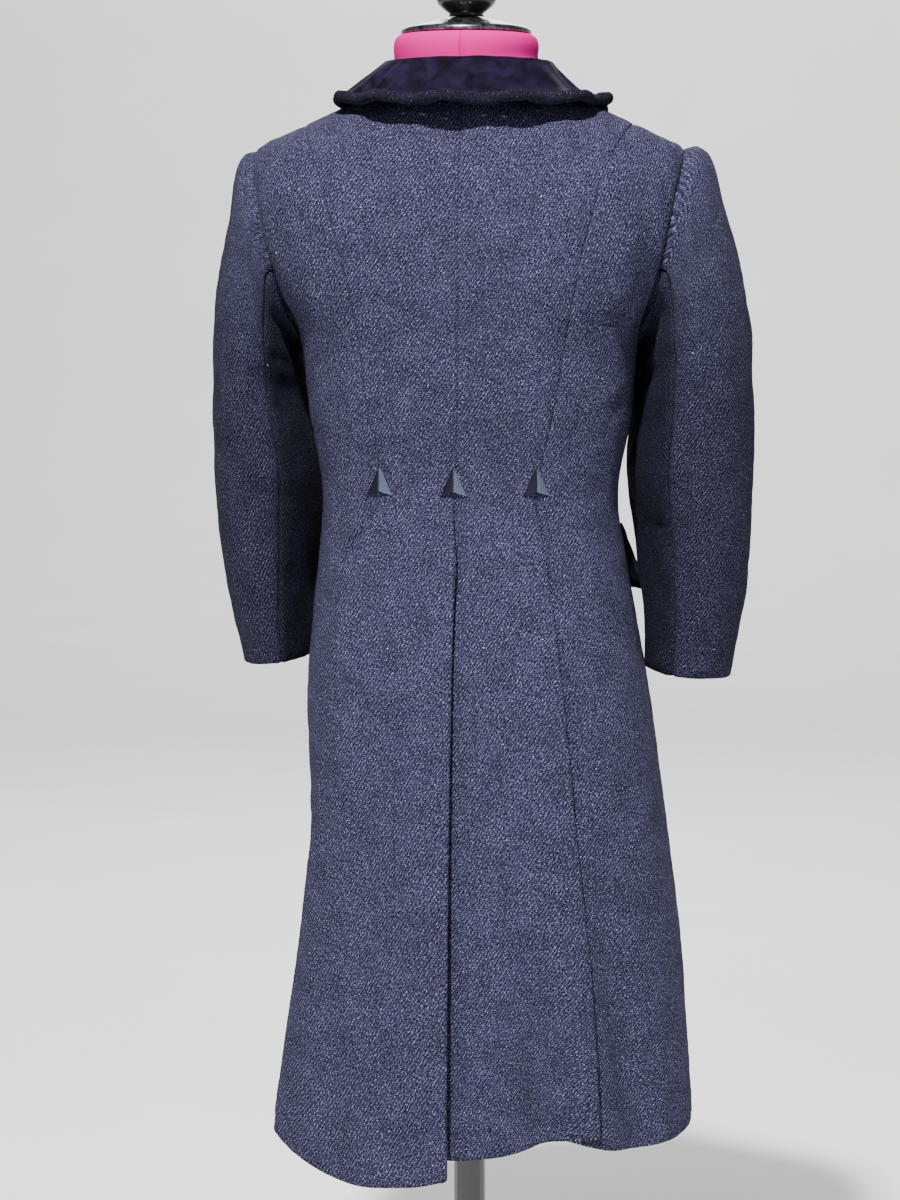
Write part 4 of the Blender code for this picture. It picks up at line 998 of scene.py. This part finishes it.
def back_panel(side):
    """Centre back panel: the left one laps over the right one at the centre pleat."""
    name = "back_" + SIDE_NAMES[side]
    centre = rows_through(CENTRE_STEPS)
    lap, _, under, _, _ = pleat_open(centre, CENTRE_PLEAT)
    reach = -lap if side > 0 else under
    start = (centre, angle_at(centre, centre_x(centre) + reach))
    seam = rows_through(SEAM_STEPS)
    lap = pleat_open(seam, PRINCESS_PLEAT)[0]
    lapped = angle_at(seam, princess_x(side, seam) + side * lap)
    end = (seam, np.where(lap > 0, lapped, princess_angle(seam, side, False)))

    def lift(position, x):
        below = position > WAIST
        edge = princess_x(side, position)
        side_out, side_wall = over_lift(PRINCESS_PLEAT, -side, edge, position, x)
        if side > 0:
            centre_out, centre_wall = over_lift(CENTRE_PLEAT, 1, centre_x(position), position, x)
        else:
            centre_out, centre_wall = under_lift(CENTRE_PLEAT, -1, centre_x(position), position, x), 0.0
        out = np.where(below, centre_out + side_out, 0.0)
        return out, np.where(below, np.maximum(centre_wall, side_wall), 0.0)

    body_panel(name, start, end, lift, BODY_CREASES, {"start": "pleat", "end": "pleat"})


def side_edges(side, front):
    """Edges of a side panel: its princess seam, then its armhole and side seam."""
    step = np.interp(BODICE_T, np.arange(13), np.concatenate((np.full(4, 0.0), ARMHOLE_STEPS)))
    keep = BODICE_T >= 4
    step = step[keep]
    seam = between(PRINCESS_TOP, UNDERARM, step ** 1.5)
    arm = between(SHOULDER_POINT, UNDERARM, step)
    seam = np.concatenate((seam, LOWER))
    outside = np.concatenate((arm, LOWER))
    outside_angle = np.concatenate((armhole_angle(step, side, front), np.full(len(LOWER), side * 90.0)))
    return (seam, princess_angle(seam, side, front)), (outside, outside_angle)


def side_back_panel(side):
    """Side back panel, which runs under the centre panel's pleat below the waist."""
    name = "side_back_" + SIDE_NAMES[side]
    (seam, angle), outside = side_edges(side, False)
    under = pleat_open(seam, PRINCESS_PLEAT)[2]
    tucked = angle_at(seam, princess_x(side, seam) - side * under)
    start = (seam, np.where(under > 0, tucked, angle))

    def lift(position, x):
        sunk = under_lift(PRINCESS_PLEAT, side, princess_x(side, position), position, x)
        return np.where(position > WAIST, sunk, 0.0), np.zeros(position.shape)

    body_panel(name, start, outside, lift, BODY_CREASES, {"start": "pleat", "end": "seam"})


def side_front_panel(side):
    """Side front panel, from the shoulder seam to the hem."""
    name = "side_front_" + SIDE_NAMES[side]
    start, end = side_edges(side, True)
    body_panel(name, start, end, nothing, BODY_CREASES[6:], {"start": "seam", "end": "seam"})


def front_panel(side):
    """Front panel; the right front laps over the left one down the centre."""
    name = "front_" + SIDE_NAMES[side]
    seam = rows_through(SEAM_STEPS)
    centre = rows_through(CENTRE_STEPS)
    start = (seam, princess_angle(seam, side, True))
    end = (centre, side * (360 - np.abs(angle_at(centre, FRONT_LAP, True))))

    def lift(position, x):
        if side < 0:
            return nothing(position, x)
        return -FRONT_SINK * sunk_share(x - FRONT_LAP), np.zeros(position.shape)

    body_panel(name, start, end, lift, BODY_CREASES[6:], {"start": "seam", "end": "edge"})


# The sleeves


def sleeve_section(row, sign, angle):
    """Points of a sleeve's sections: ellipses through their outer and inner edges."""
    turn = np.radians(angle)
    outer, outer_z, inner, inner_z, middle, depth = (row[..., column] for column in range(6))
    x = (outer + inner) / 2 + (outer - inner) / 2 * np.cos(turn)
    z = (outer_z + inner_z) / 2 + (outer_z - inner_z) / 2 * np.cos(turn)
    y = middle + depth / 2 * np.sin(turn)
    return np.stack((sign * x, y, z), axis=-1)


def sleeve_surface(which, rows, angles):
    """Outer points of a sleeve at given rows and loop angles."""
    sign = 1 if which == "left" else -1
    table = SLEEVES[which]
    turn = angles % 360
    step = (1 - np.cos(np.radians(turn))) / 2
    front = turn > 180
    position = between(SHOULDER_POINT, UNDERARM, step)
    armhole_turn = np.where(front, armhole_angle(step, sign, True), armhole_angle(step, sign, False))
    own = coat_point(position, armhole_turn) - sleeve_section(table[0], sign, turn)
    row = spline(table, rows)[:, None, :]
    share = np.maximum(row[..., 6], 0.0)
    points = sleeve_section(row, sign, turn[None, :]) + own[None] * share[..., None]
    turned_in = smooth_step((rows - 1.2) / 2.4) * (1 - 0.7 * smooth_step((rows - 7.6) / 2.4))
    points[..., 1] -= INNER_TURN * turned_in[:, None] * bell(turn - INNER_TURN_ANGLE, INNER_TURN_WIDTH)
    centre = (sleeve_section(row, sign, np.array(90.0)) + sleeve_section(row, sign, np.array(270.0))) / 2
    outward = unit(points - centre)
    for dent in SLEEVE_DENTS[which]:
        near = bell(rows[:, None] - dent.row, dent.span) * bell(turn[None, :] - dent.angle, dent.turn)
        points = points + unit(outward * (1, 1, 0)) * (dent.depth * near)[..., None]
    return points, outward


def sleeve_piece(name, which, begin, finish, creases):
    """Half of a two-piece sleeve, from one of its seams to the other."""
    rows = np.linspace(0.03, 10, 92)
    span = abs(finish - begin)
    steps = int(span / 3.4)
    width = 1.05 * span
    edge = (WALL / 2 - SLEEVE_OVERLAP) / width
    fine = np.array((0.0, 0.012, 0.03, 0.055))
    shares = np.concatenate((fine, np.linspace(0.08, 0.92, steps), 1 - fine[::-1]))
    shares = edge + (1 - 2 * edge) * shares
    angles = between(begin, finish, shares)
    points, outward = sleeve_surface(which, rows, angles)
    normal = grid_normal(points)
    normal *= np.where(np.sum(normal * outward, axis=-1, keepdims=True) < 0, -1.0, 1.0)
    distance = np.minimum(shares, 1 - shares)[None, :] * width
    relief = crease_depth(points, creases) * smooth_step(rows / 1.4)[:, None]
    relief += uneven(points, SLEEVE_UNEVEN)
    relief *= smooth_step((rows - 0.1) / 0.8)[:, None]
    relief *= smooth_step(distance / 14)
    surface = SLEEVE_SEAM_SHARE * seam_line(distance) + uneven(points, SLEEVE_FINE)
    middle = points + normal * relief[..., None]
    wall = WALL + 0.8 * smooth_step((rows - 9.3) / 0.1)[:, None]
    outer = middle + normal * surface[..., None]
    inner = middle - normal * wall[..., None]
    tucked = 1.2 * unit(outer[0] - outer[1])
    outer = np.concatenate(((outer[0] + tucked)[None], outer))
    inner = np.concatenate(((inner[0] + tucked)[None], inner))
    across, down = arc_lengths(outer)
    across = across - across[:, -1:] / 2
    grain = -1 if (which == "left") == name.startswith("under") else 1
    flat = np.stack((grain * across + 300.0 * len(name), down[-1] - down), axis=-1)
    # The under sleeve gets the darker painted-shade wool, the top sleeve the lighter one
    cloth = SHADED_UNDER_WOOL if name == "under_sleeve" else SHADED_SLEEVE_WOOL
    piece = shell(f"coat_{name}_{which}", outer, inner, cloth, flat)
    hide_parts(f"{name}_{which}")


# The collar and its welt


def collar_surface(rows, fractions):
    """Points of the velvet face: rows from the foot to the edge, from the left end to the right."""
    gap = spline(COLLAR_FRONT_GAP, rows)[:, None]
    angle = (180 - gap) * (1 - 2 * fractions[None, :])
    point = ring_point(spline(COLLAR, rows)[:, None, :], angle)
    flat = unit(point * (1, 1, 0))
    ripple = COLLAR_WAVE_HEIGHT * (0.5 + 0.5 * np.cos(np.radians(COLLAR_WAVES * (angle - COLLAR_WAVE_PHASE))))
    share = np.maximum(np.interp(rows, np.arange(8), COLLAR_WAVE_SHARE), 0.0)[:, None]
    lift = (flat * 1.5 + (0, 0, 0.6)) * (ripple * share)[..., None]
    lift = lift + flat * (COLLAR_STAND_OFF * share * smooth_step(np.cos(np.radians(angle))))[..., None]
    drop = np.interp(rows, np.arange(8), COLLAR_RIGHT_DROP)[:, None]
    drop = drop * smooth_step(-np.sin(np.radians(angle)))
    return point + lift - np.stack((0 * drop, 0 * drop, drop), axis=-1), angle


def collar():
    """The folded velvet collar with soft puckers down its fall."""
    rows = np.linspace(0, 7, 50)
    fractions = np.linspace(0.002, 0.998, 281)
    face, angle = collar_surface(rows, fractions)
    normal = grid_normal(face)
    normal = normal * np.sign(normal[-1, len(fractions) // 2, 1])
    fall = smooth_step((rows - 3.3) / 2.4)[:, None] * (1 - 0.4 * smooth_step((rows - 6.2) / 0.8))[:, None]
    phase = angle + 2.4 * np.sin(np.radians(angle * 3.1 + 40)) + 1.5 * np.sin(np.radians(angle * 7.3))
    pucker = 0.9 * np.cos(np.radians(26 * phase)) + 0.6 * np.cos(np.radians(41 * phase + 60))
    strength = 0.55 + 0.45 * np.sin(np.radians(angle * 2.3 + 20))
    shape = fall * pucker * strength + 0.3 * unevenness(face, 24, 31)
    outer = face + normal * shape[..., None]
    inner = outer - normal * VELVET_WALL
    piece = shell("coat_collar", outer, inner, VELVET)
    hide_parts("collar")


def collar_welt():
    """The puckered wool welt along the collar's outer edge."""
    fractions = np.linspace(0, 1, 433)
    points, _ = collar_surface(np.array((6.0, 7.0)), fractions)
    outward = unit(points[1] - points[0])
    centres = points[1] + outward * (WELT_RADIUS + WELT_PUCKER_HEIGHT + 0.3)
    centres[:, 2] -= 0.8
    wander = fractions + 0.0022 * np.sin(fractions * 61) + 0.0015 * np.sin(fractions * 113 + 1)
    phase = (WELT_PUCKERS * wander) % 1.0
    lump = np.sqrt(np.maximum(np.sin(np.pi * phase), 0.0))
    radii = WELT_RADIUS - WELT_PUCKER_HEIGHT + 2 * WELT_PUCKER_HEIGHT * lump
    sides = 12
    ups = np.tile((0.0, 0.0, 1.0), (len(fractions), 1))
    turns = 2 * np.pi * (np.arange(sides) + 0.5) / sides
    twist = 0.22 * np.sin(2 * turns[None, :] + 9 * np.pi * WELT_PUCKERS * fractions[:, None] / 18)
    # The welt takes the darkened wool: painted shade
    piece = tube("coat_collar_welt", centres, ups, radii[:, None] + twist, sides, SHADED_WELT_WOOL, WELT_BORE)
    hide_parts("collar_welt")


# What lies on the panels


def flap_stand(flap, along, down):
    """How far a flap stands off below its top edge."""
    return between(flap.rear_out, flap.front_out, along) * np.maximum(down, 0.0) ** 1.3


def flap_surface(which, along, down, out=0.0):
    """Points of a pocket flap's face: along from the rear end (0) to the front end (1)."""
    flap = FLAPS[which]
    position = position_at_height(between(flap.top_z, flap.bottom_z, down))
    angle = between(flap.rear, flap.front, along)
    lift = between(FLAP_TOP_LIFT, LAP_GAP + FLAP_WALL, smooth_step(down / 0.3))
    lift = lift + flap_stand(flap, along, down) + out
    return coat_point(position, angle) + coat_normal(position, angle) * lift[..., None]


def pocket_flap(which):
    """A velvet flap with its wool welt."""
    flap = FLAPS[which]
    along, down = np.meshgrid(np.linspace(0.018, 0.982, 40), np.linspace(0, 1, 26))
    face = flap_surface(which, along, down)
    back = flap_surface(which, along, down, np.full(along.shape, -FLAP_WALL))
    normal = unit(face - back)
    quilt = 0.35 * unevenness(face, 17, 41) + 0.5 * bell(down - 0.5, 0.3) * bell(along - 0.5, 0.4)
    face = face + normal * quilt[..., None]
    piece = shell("coat_flap_" + which, face, back, VELVET)
    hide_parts("flap_" + which)
    ends = flap_surface(which, np.array((0.0, 1.0)), np.array((1.0, 1.0)))
    beside = FLAP_WELT_OFFSET / float(np.linalg.norm(ends[1] - ends[0]))
    below = 1 + FLAP_WELT_OFFSET / (flap.top_z - flap.bottom_z)
    route = [(-beside, 0.08), (-beside, 0.4), (-beside, 0.75), (-0.7 * beside, below - 0.02)]
    route += [(0.1, below), (0.36, below), (0.64, below), (0.9, below)]
    route += [(1 + 0.7 * beside, below - 0.02), (1 + beside, 0.75), (1 + beside, 0.4), (1 + beside, 0.08)]
    fine = spline(np.array(route), np.linspace(0, len(route) - 1, 133))
    out = np.maximum(-FLAP_WALL / 2, 0.9 - flap_stand(flap, fine[:, 0], fine[:, 1]))
    centres = flap_surface(which, fine[:, 0], fine[:, 1], out)
    ups = unit(centres * (1, 1, 0))
    phase = np.linspace(0, 13, len(centres)) % 1.0
    radii = FLAP_WELT_RADIUS * (0.86 + 0.16 * np.sqrt(np.maximum(np.sin(np.pi * phase), 0.0)))
    # The flap's welt takes the darkened wool too: painted shade
    welt = tube("coat_flap_welt_" + which, centres, ups, radii, 12, SHADED_WELT_WOOL, FLAP_WELT_BORE)
    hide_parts("flap_welt_" + which)


def arrowhead(node, seam_distance):
    """A satin-stitched triangle: threads laid side by side over a padded shape."""
    vertices, faces, uvs = [], [], []
    strands, points_each, sides = 27, 17, 6
    for strand in range(strands):
        down = strand / (strands - 1)
        height = between(ARROW_TIP_Z, ARROW_BASE_Z, down)
        half = 0.7 + (ARROW_HALF_WIDTH - 0.9) * (0.86 * down ** 0.85 + 0.14 * down ** 8)
        across = np.linspace(1, -1, points_each)
        slope = 3.4 * (1 - np.abs(across)) - 2.6
        position = position_at_height(height + slope * down)
        angle = angle_at(position, seam_distance + half * across)
        base, normal = coat_point(position, angle), coat_normal(position, angle)
        roof = (1 - np.abs(across)) ** 0.8 - 0.35 * bell(across, 0.13)
        rise = ARROW_HEIGHT * (0.1 + 1.5 * roof * (0.6 + 0.4 * down ** 0.5))
        centres = base + normal * (ARROW_GAP + rise - 0.35)[:, None]
        tangent = unit(np.gradient(centres, axis=0))
        side_way = unit(np.cross(tangent, normal))
        first = len(vertices)
        for index in range(points_each):
            radius = 0.40 if 0 < index < points_each - 1 else 0.24
            for side in range(sides):
                turn = 2 * math.pi * side / sides
                offset = side_way[index] * math.cos(turn) + normal[index] * math.sin(turn)
                vertices.append(centres[index] + offset * radius)
                uvs.append((index * 1.9, side * 0.4 + strand * 3.7))
        faces += tube_faces(points_each, sides, first)
    piece = mesh_object("coat_" + node, vertices, faces, THREAD, uvs)
    # The wearer's right half of every strand takes the lighter thread: a painted sheen on that facet
    piece.data.materials.append(SHEEN_PAINTED_THREAD)
    ring = points_each * sides
    for polygon in piece.data.polygons:
        if (polygon.vertices[0] % ring) // sides >= points_each // 2:
            polygon.material_index = 1
    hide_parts(node)


def button_piece(node):
    """A plain button with a rim and a dished face, square to the right front."""
    low, high = (np.array(corner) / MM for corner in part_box(node))
    centre = (low + high) / 2
    angle = np.array(-180.0)
    positions = np.linspace(0, HEM, 4001)
    position = np.array(np.interp(-centre[2], -spline(TORSO, positions)[:, FRONT_Z], positions))
    normal = coat_normal(position, angle)
    point = coat_point(position, angle)
    steps = 48
    sideways = np.array((1.0, 0.0, 0.0))
    upward = unit(np.cross(normal, sideways))
    sideways = np.cross(upward, normal)
    vertices = []
    for radius, out in BUTTON_PROFILE:
        for step in range(steps):
            turn = 2 * math.pi * step / steps
            offset = sideways * math.cos(turn) + upward * math.sin(turn)
            vertices.append(point + normal * (0.3 + out) + offset * radius)
    piece = mesh_object("coat_" + node, vertices, tube_faces(len(BUTTON_PROFILE), steps), BUTTON)
    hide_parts(node)


# The dress form and its stand


def form():
    """The jersey form: its neck, with a seam at the back, and its body inside the coat."""
    seam_angles = np.array((-1.6, -1.0, -0.6, -0.3, 0.0, 0.3, 0.6, 1.0, 1.6))
    angles = np.concatenate((seam_angles, np.arange(1, 144) * 2.5))
    columns = len(angles)
    turns = np.radians(angles)
    rings = []
    for height, radius in NECK_RINGS:
        flat = np.full(columns, height)
        rings.append(np.stack((radius * np.sin(turns) + NECK_SHIFT, radius * np.cos(turns), flat), axis=-1))
    for index, inside, below in NECK_INSIDE:
        ring = ring_point(COLLAR[index][None, :], angles)
        rings.append(ring - unit(ring * (1, 1, 0)) * inside - (0, 0, below))
    angle = signed(angles)
    for position, ease in FORM_ROWS:
        depth = np.full(columns, ease)
        if position < SHOULDER_POINT:
            depth += SHOULDER_EASE * (1 - bell(np.abs(np.abs(angle) - 90), SHOULDER_EASE_WIDTH))
        depth += (FRONT_SINK + FRONT_EASE) * bell(180 - np.abs(angle), FRONT_EASE_WIDTH)
        place = np.full(columns, position)
        rings.append(coat_point(place, angle) - coat_normal(place, angle) * depth[:, None])
    foot = rings[-1] * (0.97, 0.97, 0)
    foot[:, 2] = FORM_BOTTOM_Z
    rings.append(foot)
    fine = spline(np.array(rings).reshape(len(rings), -1), np.linspace(0, len(rings) - 1, 3 * len(rings)))
    grid = fine.reshape(-1, columns, 3)
    top = grid[0][None] + (np.array((NECK_SHIFT, 0, NECK_TOP_Z)) - grid[0][None]) * 0.03
    top[..., 2] = NECK_TOP_Z
    grid = np.concatenate((top, grid))
    seam = bell(angle, 0.55)
    outward = unit(grid * (1, 1, 0))
    neck = smooth_step((grid[..., 2] - 1090) / 12)
    grid = grid - outward * (1.5 * seam[None, :] * neck)[..., None]
    _, down = arc_lengths(grid)
    around = np.broadcast_to(turns[None, :] * 54, down.shape)
    uvs = np.stack((around, -down), axis=-1).reshape(-1, 2)
    piece = mesh_object("dress_form", grid.reshape(-1, 3), tube_faces(len(grid), columns), JERSEY, uvs)
    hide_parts("form_body")


def neck_cap():
    """The dark metal neck cap, a low cone with a plain ring of embossed petals and a bright rim."""
    z = NECK_TOP_Z + STAND_GAP
    profile = [(0.01, z + 13.5), (10.4, z + 13.2), (11.5, z + 12.5), (15.2, z + 11.4), (16.2, z + 11.2)]
    profile += [(radius, z + 11.2 - (radius - 16) * 0.214) for radius in np.linspace(17.5, 43, 26)]
    profile += [(44.2, z + 5.3), (45.4, z + 5.4), (46.6, z + 5.0), (47.9, z + 4.2), (48.8, z + 3.0)]
    profile += [(49.0, z + 2.0), (48.6, z + 0.9), (48.0, z + 0.05), (0.01, z)]

    def relief(radius, turns):
        band = smooth_step((radius - 17.5) / 4) * (1 - smooth_step((radius - 40) / 3))
        petals = np.abs(np.sin(9 * turns + 0.12 * (radius - 30))) ** 0.7
        beads = 0.5 + 0.5 * np.cos(36 * turns)
        return band * (0.85 * petals * bell(radius - 27, 8) + 0.5 * beads * bell(radius - 38, 2.2))

    piece = turned("neck_cap_plate", profile, 144, DARK_METAL, (NECK_SHIFT, 0.0), relief)
    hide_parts("neck_cap")


def finial():
    """The turned black finial."""
    z = NECK_TOP_Z + STAND_GAP + 13.5 + STAND_GAP
    rough = np.array(((0.01, 54), (7, 52.5), (11.5, 48), (13, 42), (11, 36), (8, 32), (8.5, 29), (16, 25),
                      (21, 19), (22.5, 14), (21, 9), (16.5, 4.8), (13, 2.2), (13.5, 0)))
    fine = spline(rough, np.linspace(0, len(rough) - 1, 60))
    fine[:, 0] = np.maximum(fine[:, 0], 0.01)
    profile = np.concatenate((fine, ((0.01, 0.0),))) + (0.0, z)
    piece = turned("finial_knob", profile, 96, LACQUER, (NECK_SHIFT, 0.0))
    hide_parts("finial")


def carried_over():
    """The pole and the base keep their solids and get the stand's lacquer."""
    for node in ("pole", "base"):
        for material_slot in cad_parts[node].material_slots:
            material_slot.material = LACQUER


# Stage, light and camera


def stage():
    """A plain pale floor that sweeps up behind the object, soft lights and the camera."""
    bend, radius = -6.0, 1.6
    profile = [(8.0, 0.0), (bend, 0.0)]
    for turn in np.radians(range(6, 91, 6)):
        profile.append((bend - radius * math.sin(turn), radius - radius * math.cos(turn)))
    profile.append((bend - radius, 9.0))
    vertices = [(x, y, z) for y, z in profile for x in (-9.0, 9.0)]
    faces = [(2 * i, 2 * i + 1, 2 * i + 3, 2 * i + 2) for i in range(len(profile) - 1)]
    mesh = bpy.data.meshes.new("floor")
    mesh.from_pydata(vertices, [], faces)
    mesh.shade_smooth()
    material, shade, add = new_material("floor_paper")
    grain = noise(add, add("TexCoord", output="Object"), 3.0, 2.0)
    shade({
        "Base Color": ramp(add, grain, ((0.3, (0.86, 0.86, 0.87)), (0.7, (0.90, 0.90, 0.90)))),
        "Roughness": 0.9,
    })
    mesh.materials.append(material)
    floor = bpy.data.objects.new("floor", mesh)
    bpy.context.scene.collection.objects.link(floor)

    world = bpy.data.worlds.new("studio")
    world.use_nodes = True
    background = world.node_tree.nodes["Background"]
    background.inputs["Color"].default_value = (0.95, 0.97, 1.0, 1)
    background.inputs["Strength"].default_value = 0.25
    bpy.context.scene.world = world

    def area(name, location, target, size, energy, colour):
        light = bpy.data.lights.new(name, "AREA")
        light.shape = "DISK"
        light.size = size
        light.energy = energy
        light.color = colour
        lamp = bpy.data.objects.new(name, light)
        lamp.location = location
        aim = np.array(target) - np.array(location)
        level = math.hypot(aim[0], aim[1])
        lamp.rotation_euler = (math.atan2(level, -aim[2]), 0, math.atan2(-aim[0], aim[1]))
        bpy.context.scene.collection.objects.link(lamp)

    area("key", (0.32, 2.5, 4.1), (0, 0, 0.75), 0.22, 560, (1.0, 0.98, 0.95))
    area("fill_left", (2.6, 1.6, 1.4), (0, 0, 0.7), 1.6, 2, (0.93, 0.96, 1.0))
    area("fill_right", (-2.2, 2.2, 1.7), (0, 0, 0.7), 1.6, 16, (0.93, 0.96, 1.0))
    area("front_fill", (0.2, -2.8, 2.2), (0, 0, 0.7), 1.8, 60, (1.0, 1.0, 1.0))
    area("backdrop", (0, -5.2, 4.6), (0, -7.6, 1.2), 2.0, 190, (1.0, 1.0, 1.0))

    camera_data = bpy.data.cameras.new("photo_camera")
    camera_data.lens = FOCAL / PHOTO_HEIGHT * SENSOR
    camera = bpy.data.objects.new("photo_camera", camera_data)
    camera.location = (EYE * MM).tolist()
    camera.rotation_euler = (math.radians(90 - PITCH), 0, math.radians(HEADING))
    bpy.context.scene.collection.objects.link(camera)
    bpy.context.scene.camera = camera


def main():
    """Build every piece, the stage and the camera."""
    waist = np.array(float(WAIST))
    for side in (1, -1):
        back_panel(side)
        side_back_panel(side)
        side_front_panel(side)
        front_panel(side)
    for which, creases in (("left", LEFT_SLEEVE_CREASES), ("right", RIGHT_SLEEVE_CREASES)):
        sleeve_piece("top_sleeve", which, SLEEVE_FRONT_SEAM, SLEEVE_BACK_SEAM + 360, creases)
        sleeve_piece("under_sleeve", which, SLEEVE_BACK_SEAM, SLEEVE_FRONT_SEAM, creases)
        pocket_flap(which)
    collar()
    collar_welt()
    arrowhead("arrowhead_centre", float(centre_x(waist)))
    arrowhead("arrowhead_left", float(princess_x(1, waist)))
    arrowhead("arrowhead_right", float(princess_x(-1, waist)))
    for index in range(1, 6):
        button_piece(f"button_{index}")
    form()
    neck_cap()
    finial()
    carried_over()
    stage()


main()
